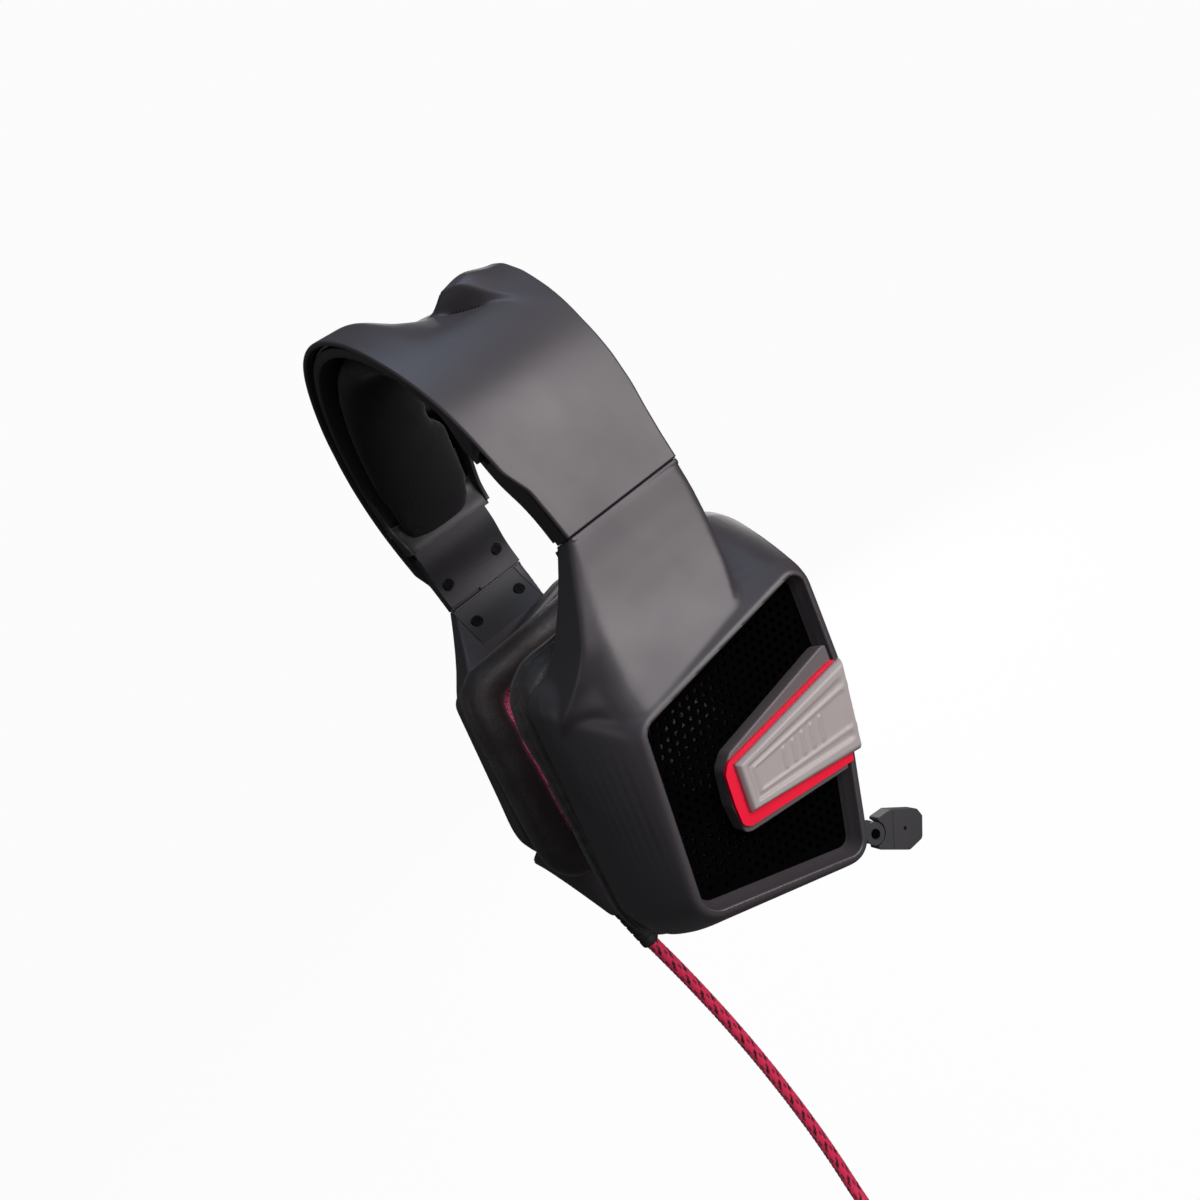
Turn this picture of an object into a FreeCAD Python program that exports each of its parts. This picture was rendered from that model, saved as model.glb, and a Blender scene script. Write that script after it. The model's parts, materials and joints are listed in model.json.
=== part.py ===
import FreeCAD, Part
import math
import os
from FreeCAD import Vector

# A closed-back gaming headset as it sits on a head. Millimetres. X runs from the right ear to the
# left ear, -Y is the way the wearer faces, +Z is up. The origin is midway between the ear cushions.
# Everything is drawn for the left side (+X) and mirrored for the right, apart from the microphone
# and the cable, which only the left side has.

# Headband: the outer line of its rear edge, half of it, as (x, z), from the crown to the slider joint
BAND_LINE = [
    (0, 158.1), (25.3, 153.6), (48.7, 142.0), (67.4, 125.4), (79.4, 106.2), (83.2, 86.0), (85.6, 66.0),
]
JOINT_Z = 66.0
JOINT_GAP = 0.4
SHELL_T = 1.6
FRAME_OUT = 3.0
FRAME_T = 3.0
SPRING_OUT = 1.9
SPRING_T = 0.8

# Along the band, by distance from the crown: rear edge y, front edge y, and how far the front edge lies
# below the outer line. The crown's front half is a sunken saddle, and beside it the front edge flares
# outward, which is a depth below 0.
BAND_EDGES = [
    (0, 6.0, -36.0, 9.8), (14, 6.0, -36.0, 9.8), (28, 6.0, -36.2, 9.8), (42, 6.0, -36.8, 9.6),
    (50, 5.9, -38.0, 9.2), (54, 5.8, -39.0, 7.4), (57, 5.8, -39.8, 3.4), (60, 5.8, -40.6, -0.8),
    (65, 5.7, -41.6, -1.6), (72, 5.6, -42.5, -1.0), (84, 5.2, -42.0, -0.2), (98, 4.6, -40.4, 0.0),
    (110, 4.1, -39.8, 0.0), (119, 3.7, -38.8, 0.0), (126, 1.3, -37.4, 0.0), (133, 1.2, -36.2, 0.0),
]
# The saddle's depth across the band, as (y, share of the depth); the last share is at the front edge
SADDLE = [(-5.0, 0.0), (-12.0, 0.41), (-16.0, 0.68), (-24.0, 0.92)]
# Pad, by distance from the crown: rear edge y, front edge y, thickness
PAD_ROWS = [
    (0, 2.5, -32.0, 8.6), (14, 2.5, -32.0, 8.6), (28, 2.5, -32.0, 8.6), (42, 2.5, -32.0, 8.6),
    (46, 2.5, -32.0, 8.6), (50, 2.5, -32.0, 8.6), (54, 2.4, -32.0, 8.6), (57, 2.3, -32.0, 8.6),
    (60, 2.2, -33.0, 8.6), (65, 2.0, -35.0, 8.6), (72, 1.8, -36.5, 8.6), (80, 1.6, -36.5, 8.6),
    (92, 1.2, -35.4, 8.0), (100, 0.8, -33.8, 7.6), (105, 0.0, -32.6, 7.0), (108.5, -1.5, -30.5, 5.0),
]
PAD_ROUND = 0.4
FRAME_FRONT = -7.0
FRAME_END = 97
RAIL_SET = 0.3
RAIL_W = 4.4
RAIL_DEPTH = 14.5

# End block of the band: its inner face, and the outer edge of its side walls, as (x, z)
END_INNER = [(74.9, 66.2), (72.8, 79.5), (69.6, 86.0), (68.0, 93.0)]
END_OUTER = [(83.6, 66.2), (82.6, 74.0), (81.6, 82.0), (80.1, 91.5)]
END_PLATE_T = 2.5
END_Y = (-35.4, 1.1)
END_WALL_T = 1.8
END_SCREWS = [(-3.6, 76.0), (-29.6, 76.0)]

# Cross-head screws, along X: where their heads start on the end block and on the arm, and their seats
END_SCREW_X = 73.1
END_SEAT_X = 74.6
ARM_SCREW_X = 69.7
ARM_SEAT_X = 71.2
SCREW_LENGTH = 6.0
SCREW_HEAD_R = 2.2
SCREW_HEAD_T = 1.4
SCREW_SHANK_R = 1.1
SCREW_SLOT = (0.7, 3.2)
SCREW_SLOT_DEPTH = 0.5
SCREW_HOLE_R = 1.3
SCREW_SEAT_R = 2.4
OUTSIDE_X = (60.0, 90.0)

# Size slider
SLIDE_LEAN = 0.119
STRIP_W = 22.0
STRIP_T = 1.5
STRIP_Y = -17.0
STRIP_TOP_X = 76.2
STRIP_TOP_Z = 100.0
STRIP_LENGTH = 68.0
DETENTS = 5
DETENT_R = 0.9
DETENT_FIRST = 6.0
DETENT_PITCH = 5.0

# Arm between slider joint and cup, by height:
# z, outer x, middle x, inner x, rear y, rear y outside, front y
ARM_SECTIONS = [
    (JOINT_Z, 85.6, 84.6, 74.9, 1.2, 0.6, -35.2), (58, 86.0, 84.8, 71.2, 6.0, 3.2, -34.2),
    (51, 86.7, 85.4, 66.2, 10.3, 5.6, -32.6), (44, 87.9, 85.8, 60.0, 15.0, 9.0, -30.2),
    (38, 89.5, 82.0, 54.0, 20.5, 13.0, -27.8), (32, 91.6, 73.5, 50.0, 26.3, 17.0, -24.0),
    (25, 94.4, 66.0, 50.0, 28.6, 18.6, -19.0), (16, 94.4, 65.0, 50.0, 30.0, 18.0, -16.0),
]
ARM_COVER_T = 1.4
ARM_COVER_Z = (48.0, 65.2)
ARM_COVER_Y = (-30.8, 2.0)
ARM_SCREWS = [(-26.0, 57.0), (-3.0, 57.0)]

# Cup outlines as (y, z, corner radius)
BASE = [
    (26.5, 38.0, 7.0), (42.0, -30.0, 12.0), (-14.0, -50.0, 14.0), (-45.0, -2.0, 30.0), (-54.5, 53.6, 13.0),
]
RIM = [(18.8, 24.8, 6.0), (34.6, -19.2, 7.0), (-9.0, -39.0, 6.0), (-33.4, 1.0, 20.0), (-42.0, 29.2, 5.0)]
CUSHION = [
    (28.8, 46.8, 17.5), (45.4, -46.0, 20.5), (-20.0, -47.0, 24.0), (-47.0, -4.0, 30.0), (-49.0, 49.0, 16.0),
]
BASE_X = 50.0
SHOULDER_X = 64.0
RIM_X = 95.0
WALL = 2.8
LIP = 3.0
GRILLE_X = 88.6
GRILLE_T = 1.0
BAFFLE_T = 3.0
CUSHION_X = (30.0, 49.2)
CUSHION_WIDTH = 20.0
CLOTH_T = 0.5
FIT = 0.05
CLEAR = 0.3

# Wing-shaped insert over the rim, as (y, z), from the front top corner round the rear
SLAB = [(-36.0, 9.0), (4.8, 5.4), (8.4, 3.2), (12.0, -4.5), (13.2, -11.0), (11.6, -12.0), (-22.0, -19.6)]
TRIM = [(-34.0, 4.8), (7.0, 4.4), (9.2, 2.6), (11.6, -4.0), (12.9, -8.8), (11.5, -10.3), (-21.0, -17.8)]
CAP = [(-31.5, 3.4), (5.6, 3.2), (7.0, 2.2), (10.2, -6.4), (9.2, -7.6), (-21.0, -15.0)]
SLAB_TOP_X = 95.2
TRIM_T = 1.2
CAP_T = 2.2
CAP_OVERHANG = 0.4

# Speaker driver, measured from the baffle's outer face
DRIVER_Y = -2.0
DRIVER_Z = 0.0
DRIVER_R = 20.0
DRIVER_FLANGE_R = 22.4
DRIVER_FLANGE_T = 1.5
BASKET_R = 19.0
BASKET_T = 6.0
BASKET_FLOOR_T = 1.2
BASKET_WALL = 1.4
MAGNET_R = 12.5
MAGNET_T = 6.0
CONE_R = (17.0, 8.5)
CONE_DEPTH = 2.6
CONE_T = 0.4
CIRCUIT_BOARD = (1.2, 22.0, 16.0)
CIRCUIT_BOARD_AT = (74.0, -12.0, -30.0)

# Microphone boom: its hub is on the lower front of the left cup
HUB_Y = -34.0
HUB_Z = -27.0
HUB_R = 10.5
HUB_SEAT_X = 91.5
HUB_T = 7.0
SPINDLE_R = 2.5
SPINDLE_LENGTH = 8.4
BOOM_R = 2.9
MIC_X = 75.0
MIC_HINGE = (-94.0, -144.0)
MIC_T = 7.0
MIC_TILT = 39.0
MIC_PIN_R = 1.5
MIC_TONGUE_T = 3.2
MIC_TONGUE_R = 4.2
MIC_FORK_R = 5.6
MIC_FORK_GAP = 3.8
MIC_FORK_REACH = 6.6
MIC_PLATE = [
    (7.0, -8.6), (20.4, -9.2), (28.0, -7.0), (29.0, 0.0), (29.0, 7.0), (26.0, 10.6), (8.9, 10.8), (7.0, 8.6),
]
MIC_NECK = [(0, -4), (11, -3.2), (11, 3.2), (0, 4)]
MIC_HOLE = (18.0, 1.5)
MIC_HOLE_R = 1.0
MIC_ELEMENT_R = 3.0
MIC_ELEMENT_T = 3.5
# The boom's centre line, as (share of the way from hub to hinge, x), and how far it bows
BOOM_STEPS = [(0.0, 95.0), (0.16, 94.4), (0.36, 91.0), (0.6, 83.5), (0.82, 77.2), (0.955, MIC_X)]
BOOM_BOW = 6.0
BOOM_SPAN = math.hypot(MIC_HINGE[0] - HUB_Y, MIC_HINGE[1] - HUB_Z)

# Cable
BOSS_X = 60.0
BOSS_TOP = (28.0, -34.0, 13.0)
BOSS_END = (24.2, -72.0, 6.2)
RELIEF_END_Z = -92.0
RELIEF_R = (5.2, 3.9)
RELIEF_CORE_R = 3.7
RELIEF_RINGS = 4
RELIEF_RING_PITCH = 4.2
RELIEF_RING_GAP = 1.5
RELIEF_FIRST_GAP = 3.4
CABLE_R = 2.9
CABLE_ROUTE = [
    (60.0, 24.2, -92.0), (60.0, 22.9, -103.5), (60.0, 21.3, -120.0),
    (60.2, 19.6, -144.0), (60.8, 18.6, -172.0), (61.2, 18.9, -202.0),
    (60.6, 20.2, -230.0), (59.3, 21.4, -249.0), (57.4, 22.0, -261.4),
]
COIL_R = 32.0
COIL_BUNDLE_R = 9.6
COIL_CENTRE = (42.0, 22.0, -300.0)
CABLE_TAIL = [(20.8, 13.2, -275.0), (14.6, 9.6, -283.0), (10.7, 7.9, -292.5), (10.0, 7.7, -303.0)]
PLUG_TOP = CABLE_TAIL[-1]
PLUG_BODY_R = 4.5
PLUG_BODY_LENGTH = 24.0
PLUG_PIN_R = 1.75
PLUG_PIN_LENGTH = 14.0
PLUG_TIP = 1.2
TIE_WIDTH = 10.0
TIE_T = 1.4


def corner_points(corners, grow):
    """The outline's corners after each side has moved out by grow."""
    count = len(corners)
    area = 0.0
    for i in range(count):
        area += corners[i - 1][0] * corners[i][1] - corners[i][0] * corners[i - 1][1]
    shift = math.copysign(grow, grow * area)
    sides = []
    for i in range(count):
        a = corners[i]
        b = corners[(i + 1) % count]
        size = math.hypot(b[0] - a[0], b[1] - a[1])
        dy, dz = (b[0] - a[0]) / size, (b[1] - a[1]) / size
        sides.append((a[0] + dz * shift, a[1] - dy * shift, dy, dz))
    return [crossing(sides[i - 1], sides[i]) for i in range(count)]


def crossing(first, second):
    """Where two lines meet, each a point and a direction."""
    y1, z1, a1, b1 = first
    y2, z2, a2, b2 = second
    t = ((y2 - y1) * b2 - (z2 - z1) * a2) / (a1 * b2 - b1 * a2)
    return y1 + a1 * t, z1 + b1 * t


def outline(corners, x, grow=0.0):
    """A closed wire in the plane x, with rounded corners; grow moves every side outward."""
    points = [Vector(x, y, z) for y, z in corner_points(corners, grow)]
    count = len(points)
    arcs = []
    for i in range(count):
        before, at, after = points[i - 1], points[i], points[(i + 1) % count]
        into = (at - before).normalize()
        out = (after - at).normalize()
        turn = into.getAngle(out)
        radius = max(corners[i][2] + grow, 0.6)
        cut = radius * math.tan(turn / 2)
        start = at - into * cut
        end = at + out * cut
        middle_way = (out - into).normalize()
        middle = at + middle_way * (radius / math.cos(turn / 2) - radius)
        arcs.append((start, middle, end))
    edges = []
    for i in range(count):
        start, middle, end = arcs[i]
        edges.append(Part.Arc(start, middle, end).toShape())
        edges.append(Part.LineSegment(end, arcs[(i + 1) % count][0]).toShape())
    return Part.Wire(edges)


def slab_between(corners, x0, x1, grow=0.0):
    return Part.Face(outline(corners, x0, grow)).extrude(Vector(x1 - x0, 0, 0))


def polygon_slab(points, x0, x1):
    wire = Part.makePolygon([Vector(x0, y, z) for y, z in points + points[:1]])
    return Part.Face(wire).extrude(Vector(x1 - x0, 0, 0))


def blend(first, second, share):
    """Outline part of the way between two outlines."""
    return [tuple(a + (b - a) * share for a, b in zip(p, q)) for p, q in zip(first, second)]


def cylinder_x(x0, x1, y, z, r):
    return Part.makeCylinder(r, x1 - x0, Vector(x0, y, z), Vector(1, 0, 0))


def band_curve():
    half = [Vector(x, 0, z) for x, z in BAND_LINE]
    other = [Vector(-p.x, 0, p.z) for p in half[1:]]
    curve = Part.BSplineCurve()
    curve.interpolate(list(reversed(other)) + half)
    return curve


CURVE = band_curve()
CURVE_LENGTH = CURVE.length()
HALF = CURVE_LENGTH / 2


def band_frame(distance):
    """Point on the band's outer line, the direction inward from it, both in the XZ plane."""
    t = CURVE.parameterAtDistance(HALF + distance, CURVE.FirstParameter)
    point = CURVE.value(t)
    along = Vector(*CURVE.tangent(t)[0])
    along.normalize()
    inward = Vector(along.z, 0, -along.x)
    if inward.dot(Vector(0, 0, 120) - point) < 0:
        inward = inward * -1
    return point, inward


def band_edges(distance):
    rows = BAND_EDGES + [(HALF, 1.2, -35.2, 0.1)]
    d = min(abs(distance), HALF)
    for a, b in zip(rows, rows[1:]):
        if d <= b[0]:
            share = (d - a[0]) / (b[0] - a[0])
            return [p + (q - p) * share for p, q in zip(a[1:], b[1:])]
    return rows[-1][1:]


def saddle_share(y, front):
    """Share of the saddle's depth that the band drops at y."""
    rows = [(10.0, 0.0)] + SADDLE + [(front, 1.0)]
    for (y0, a), (y1, b) in zip(rows, rows[1:]):
        if y >= y1:
            return a + (b - a) * (y - y0) / (y1 - y0)
    return 1.0


def ring_wire(distance, profile):
    """Closed wire across the band at a distance, from (y, depth inside the outer line) pairs."""
    point, inward = band_frame(distance)
    ring = [point + inward * depth + Vector(0, y, 0) for y, depth in profile]
    return Part.makePolygon(ring + ring[:1])


def shell_section(distance):
    rear, front, drop = band_edges(distance)
    levels = [rear] + [y for y, _ in SADDLE] + [front]
    outer = [(y, drop * saddle_share(y, front)) for y in levels]
    inner = [(y, depth + SHELL_T) for y, depth in reversed(outer)]
    return ring_wire(distance, outer + inner)


def pad_section(distance, rear, front, thick):
    """Pad under the frame and, in the saddle, under the shell; its head side is smooth."""
    _, edge, drop = band_edges(distance)
    top = FRAME_OUT + FRAME_T + 0.1
    levels = [rear, -8.6, -12.0, -16.0, -24.0, front]
    outer = [(y, max(top, drop * saddle_share(y, edge) + SHELL_T + 0.9)) for y in levels]
    inner = [(front, top + thick + PAD_ROUND), (rear, top + thick)]
    return ring_wire(distance, outer + inner)


def both_ways(stations):
    return [-s for s in reversed(stations) if s > 0] + stations


def make_shell():
    stations = [row[0] for row in BAND_EDGES] + [HALF]
    dense = sorted(set(stations + [7, 21, 35, 46, 78, 91, 104]))
    shell = Part.makeLoft([shell_section(s) for s in both_ways(dense)], True, True)
    below = Part.makeBox(240, 240, 60, Vector(-120, -120, JOINT_Z + JOINT_GAP - 60))
    return shell.cut(below)


def make_frame():
    """Inner frame: narrow behind the saddle, as wide as the band beside it."""
    wide = {s: band_edges(s)[1] + 2.0 for s in (66, 72, 78, 84, 91, FRAME_END)}
    narrow = {s: FRAME_FRONT for s in (0, 7, 14, 21, 28, 35, 42, 48, 54, 58)}
    fronts = {**narrow, **wide}
    sections = []
    for s in both_ways(sorted(fronts)):
        rear, front = band_edges(s)[0] - 1.6, fronts[abs(s)]
        inner, outer = FRAME_OUT + FRAME_T, FRAME_OUT
        sections.append(ring_wire(s, [(rear, outer), (front, outer), (front, inner), (rear, inner)]))
    frame = Part.makeLoft(sections, True, True)
    for side in (-1, 1):
        frame = frame.fuse(front_rail(side))
    return frame


def front_rail(side):
    """Deeper rail along the frame's front edge, from the flare down to the end block."""
    sections = []
    for s in (66, 72, 78, 84, 91, 98, 104, 108):
        front = band_edges(s)[1] + RAIL_SET
        back = front + RAIL_W
        profile = [(back, FRAME_OUT), (front, FRAME_OUT), (front, RAIL_DEPTH), (back, RAIL_DEPTH)]
        sections.append(ring_wire(side * s, profile))
    return Part.makeLoft(sections, True, True)


def make_spring():
    stations = both_ways([0, 10, 20, 30, 40, 50, 60, 70, 80, 90, 100])
    low, high = SPRING_OUT, SPRING_OUT + SPRING_T
    sections = [ring_wire(s, [(-3.0, low), (3.0, low), (3.0, high), (-3.0, high)]) for s in stations]
    return Part.makeLoft(sections, True, True)


def make_pad():
    other = [(-s, rear, front, thick) for s, rear, front, thick in reversed(PAD_ROWS[1:])]
    return Part.makeLoft([pad_section(*row) for row in other + PAD_ROWS], True, True)


def extrude_y(profile, y0, y1):
    points = [Vector(x, y0, z) for x, z in profile]
    return Part.Face(Part.makePolygon(points + points[:1])).extrude(Vector(0, y1 - y0, 0))


def make_end_cover():
    """Tray that closes the band's end from inside, with a rear and a front wall."""
    y0, y1 = END_Y
    floor = END_INNER + [(x + END_PLATE_T, z) for x, z in reversed(END_INNER)]
    body = extrude_y(floor, y0, y1)
    wall = END_INNER + END_OUTER[::-1]
    for low, high in ((y0, y0 + END_WALL_T), (y1 - END_WALL_T, y1)):
        body = body.fuse(extrude_y(wall, low, high))
    for y, z in END_SCREWS:
        body = body.cut(cylinder_x(*OUTSIDE_X, y, z, SCREW_HOLE_R))
        body = body.cut(cylinder_x(OUTSIDE_X[0], END_SEAT_X, y, z, SCREW_SEAT_R))
    return body.removeSplitter()


def screw(x_head, y, z):
    neck = x_head + SCREW_HEAD_T
    head = cylinder_x(x_head, neck, y, z, SCREW_HEAD_R)
    shank = cylinder_x(neck, x_head + SCREW_LENGTH, y, z, SCREW_SHANK_R)
    body = head.fuse(shank)
    for wide, tall in (SCREW_SLOT, SCREW_SLOT[::-1]):
        corner = Vector(x_head, y - wide / 2, z - tall / 2)
        body = body.cut(Part.makeBox(SCREW_SLOT_DEPTH, wide, tall, corner))
    return body


def screws(x_head, places):
    return Part.makeCompound([screw(x_head, y, z) for y, z in places])


def slider_direction():
    return Vector(SLIDE_LEAN, 0, -math.sqrt(1 - SLIDE_LEAN**2))


def strip_block(grow, above, below):
    """The slider strip's block, grown by a clearance and lengthened above and below."""
    way = slider_direction()
    across = Vector(way.z, 0, -way.x) * -1
    top = Vector(STRIP_TOP_X, STRIP_Y, STRIP_TOP_Z) - way * above
    half = STRIP_T / 2 + grow
    low = [top - across * half, top + across * half]
    length = STRIP_LENGTH + above + below
    points = [low[0], low[1], low[1] + way * length, low[0] + way * length]
    face = Part.Face(Part.makePolygon([p + Vector(0, -STRIP_W / 2 - grow, 0) for p in points + points[:1]]))
    return face.extrude(Vector(0, STRIP_W + 2 * grow, 0))


def make_strip():
    body = strip_block(0, 0, 0)
    way = slider_direction()
    edge = Vector(STRIP_TOP_X - 3, STRIP_Y + STRIP_W / 2, STRIP_TOP_Z)
    for i in range(DETENTS):
        at = edge + way * (DETENT_FIRST + DETENT_PITCH * i)
        body = body.cut(Part.makeCylinder(DETENT_R, 6, at, Vector(1, 0, 0)))
    return body


def arm_wire(row):
    z, x_out, x_mid, x_in, y_rear, y_rear_out, y_front = row
    points = [
        Vector(x_out, y_front, z), Vector(x_out, y_rear_out, z), Vector(x_mid, y_rear, z),
        Vector(x_in, y_rear, z), Vector(x_in, y_front, z),
    ]
    return Part.makePolygon(points + points[:1])


def make_arm():
    return Part.makeLoft([arm_wire(row) for row in ARM_SECTIONS], True, True)


def housing_block():
    wires = [outline(BASE, BASE_X), outline(BASE, SHOULDER_X), outline(RIM, RIM_X)]
    return Part.makeLoft(wires, True, True)


def housing_space():
    """Everything inside the cup's walls: the chamber, and the opening in the rim."""
    share = (GRILLE_X - 0.6 - SHOULDER_X) / (RIM_X - SHOULDER_X)
    top = blend(BASE, RIM, share)
    levels = [(BASE, BASE_X - 1), (BASE, SHOULDER_X), (top, GRILLE_X - 0.6)]
    chamber = Part.makeLoft([outline(corners, x, -WALL) for corners, x in levels], True, True)
    return chamber.fuse(slab_between(RIM, GRILLE_X - 1.0, RIM_X + 2, -LIP))


def arm_cover_profile(t, low, high):
    """XZ profile of a plate let into the arm's inner face between two heights."""
    rows = sorted((row[0], row[3]) for row in ARM_SECTIONS)
    inner = [(x, z) for z, x in rows if low < z < high]
    ends = []
    for level in (low, high):
        for (z0, x0), (z1, x1) in zip(rows, rows[1:]):
            if z0 <= level <= z1:
                ends.append((x0 + (x1 - x0) * (level - z0) / (z1 - z0), level))
                break
    face = [ends[0]] + inner + [ends[1]]
    return face + [(x + t, z) for x, z in reversed(face)]


def make_arm_cover():
    low, high = ARM_COVER_Z
    body = extrude_y(arm_cover_profile(ARM_COVER_T, low + 0.15, high), *ARM_COVER_Y)
    for y, z in ARM_SCREWS:
        body = body.cut(cylinder_x(*OUTSIDE_X, y, z, SCREW_HOLE_R))
        body = body.cut(cylinder_x(OUTSIDE_X[0], ARM_SEAT_X, y, z, SCREW_SEAT_R))
    return body


def arm_pocket():
    """Space for the arm's cover, with a small gap behind it and round it."""
    low, high = ARM_COVER_Z
    front, rear = ARM_COVER_Y
    profile = arm_cover_profile(ARM_COVER_T + 0.1, low, high + 0.1)
    half = len(profile) // 2
    open_side = [(x - 3, z) for x, z in profile[:half]]
    return extrude_y(open_side + profile[half:], front - 0.2, rear + 0.2)


def make_shroud():
    """Arm and cup housing in one moulding: hollow cup, open to the ear and at the outer rim."""
    body = housing_block().fuse(make_arm())
    body = body.cut(housing_space())
    body = body.cut(Part.makeBox(20, 200, 80, Vector(30.0, -100, 0)))
    body = body.cut(arm_pocket())
    body = body.cut(strip_block(0.3, 4, 0.3))
    for y, z in ARM_SCREWS:
        body = body.cut(cylinder_x(OUTSIDE_X[0], ARM_SCREW_X + SCREW_LENGTH + 0.8, y, z, SCREW_SHANK_R))
        body = body.cut(cylinder_x(OUTSIDE_X[0], ARM_SEAT_X + 0.1, y, z, SCREW_SEAT_R + 0.1))
    return body.removeSplitter()


def make_grille():
    return slab_between(RIM, GRILLE_X, GRILLE_X + GRILLE_T, -LIP - FIT)


def make_insert():
    """The dark slab, the coloured trim and the light cap, stacked outward."""
    slab = polygon_slab(SLAB, GRILLE_X + GRILLE_T, SLAB_TOP_X)
    slab = slab.common(slab_between(RIM, GRILLE_X, SLAB_TOP_X + 1, -LIP - FIT))
    trim = polygon_slab(TRIM, SLAB_TOP_X, SLAB_TOP_X + TRIM_T)
    cap_x = SLAB_TOP_X + TRIM_T
    cap = polygon_slab(CAP, cap_x, cap_x + CAP_T)
    trim = trim.common(slab_between(RIM, cap_x - 5, cap_x + 5))
    cap = cap.common(slab_between(RIM, cap_x - 5, cap_x + 5, CAP_OVERHANG))
    return slab, trim, cap


def make_baffle():
    plate = slab_between(BASE, BASE_X + 0.1, BASE_X + 0.1 + BAFFLE_T, -WALL - FIT)
    return plate.cut(cylinder_x(40, 60, DRIVER_Y, DRIVER_Z, DRIVER_R + 0.3))


def driver_cylinder(start, length, r):
    x = BASE_X + 0.1 + BAFFLE_T + start
    return cylinder_x(x, x + length, DRIVER_Y, DRIVER_Z, r)


def driver_cone(start):
    at = Vector(BASE_X + 0.1 + BAFFLE_T + start, DRIVER_Y, DRIVER_Z)
    return Part.makeCone(*CONE_R, CONE_DEPTH, at, Vector(1, 0, 0))


def make_driver():
    """Basket with its flange, magnet behind it, and the diaphragm inside."""
    basket = driver_cylinder(0, DRIVER_FLANGE_T, DRIVER_FLANGE_R)
    basket = basket.fuse(driver_cylinder(DRIVER_FLANGE_T, BASKET_T - DRIVER_FLANGE_T, BASKET_R))
    basket = basket.cut(driver_cylinder(-1, BASKET_T - BASKET_FLOOR_T + 1, BASKET_R - BASKET_WALL))
    basket = basket.cut(driver_cylinder(0, BASKET_T + 2, MAGNET_R - 3))
    magnet = driver_cylinder(BASKET_T, MAGNET_T, MAGNET_R)
    return basket, magnet, driver_cone(CONE_T).cut(driver_cone(0))


def make_cloth():
    return slab_between(CUSHION, BASE_X - 0.6, BASE_X - 0.6 + CLOTH_T, -CUSHION_WIDTH + 4)


def make_cushion():
    """Ring-shaped ear cushion, rounded where it meets the head."""
    x0, x1 = CUSHION_X
    outside = [(x0, -6), (x0 + 5, 0), (x1 - 4, 0), (x1, -3)]
    inside = [(x0 - 1, 5 - CUSHION_WIDTH), (x0 + 5, -CUSHION_WIDTH), (x1 + 1, -CUSHION_WIDTH)]
    ring = Part.makeLoft([outline(CUSHION, x, grow) for x, grow in outside], True, True)
    hole = Part.makeLoft([outline(CUSHION, x, grow) for x, grow in inside], True, True)
    return ring.cut(hole)


def rounded_path(points, share=0.45):
    """Straight runs joined by tangent arcs, and the arcs' radii."""
    points = [Vector(*p) for p in points]
    edges = []
    radii = []
    at = points[0]
    for i in range(1, len(points) - 1):
        into = points[i] - points[i - 1]
        out = points[i + 1] - points[i]
        cut = share * min(into.Length, out.Length)
        turn = into.getAngle(out)
        radii.append(cut / math.tan(turn / 2))
        start = points[i] - into * (cut / into.Length)
        end = points[i] + out * (cut / out.Length)
        way = (out * (1 / out.Length) - into * (1 / into.Length)).normalize()
        middle = points[i] + way * (cut * math.tan(turn / 4))
        edges.append(Part.LineSegment(at, start).toShape())
        edges.append(Part.Arc(start, middle, end).toShape())
        at = end
    edges.append(Part.LineSegment(at, points[-1]).toShape())
    return Part.Wire(edges), radii


def tube(points, radius, name):
    wire, radii = rounded_path(points)
    first = wire.Edges[0]
    start = first.valueAt(first.FirstParameter)
    way = first.tangentAt(first.FirstParameter)
    circle = Part.Wire(Part.makeCircle(radius, start, way))
    body = wire.makePipeShell([circle], True, False)
    ratio = body.Volume / (math.pi * radius**2 * wire.Length)
    print(f"{name}: length {wire.Length:.1f}, volume ratio {ratio:.4f}, radii {[round(r) for r in radii]}")
    return body


def boom_points():
    """The boom's centre line: from the hub it swings in toward the mouth, with a slight bow."""
    y1, z1 = MIC_HINGE
    points = []
    for share, x in BOOM_STEPS:
        bow = BOOM_BOW * math.sin(math.pi * share)
        points.append((x, HUB_Y + (y1 - HUB_Y) * share - bow, HUB_Z + (z1 - HUB_Z) * share + bow * 0.5))
    return points


def cylinder_mic(half, y, z, r):
    """Cylinder along X, centred on the microphone's middle plane."""
    return cylinder_x(MIC_X - half, MIC_X + half, y, z, r)


def make_boom():
    """Hub, stem, and a forked end that holds the capsule's tongue."""
    y1, z1 = MIC_HINGE
    seat = HUB_SEAT_X + CLEAR
    hub = cylinder_x(seat, seat + HUB_T, HUB_Y, HUB_Z, HUB_R - 0.8)
    stem = tube(boom_points(), BOOM_R, "boom")
    fork = cylinder_mic(MIC_T / 2, y1, z1, MIC_FORK_R)
    back_y, back_z = (HUB_Y - y1) / BOOM_SPAN, (HUB_Z - z1) / BOOM_SPAN
    neck_corners = [(y1 + back_y * s - back_z * t, z1 + back_z * s + back_y * t) for s, t in MIC_NECK]
    neck = polygon_slab(neck_corners, MIC_X - MIC_T / 2, MIC_X + MIC_T / 2)
    boom = hub.fuse(stem).fuse(fork).fuse(neck)
    boom = boom.cut(cylinder_mic(MIC_FORK_GAP / 2, y1, z1, MIC_FORK_REACH))
    boom = boom.cut(cylinder_mic(MIC_T, y1, z1, MIC_PIN_R + 0.06))
    return boom.cut(cylinder_x(HUB_SEAT_X - 1, HUB_SEAT_X + 9, HUB_Y, HUB_Z, SPINDLE_R + 0.06))


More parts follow.
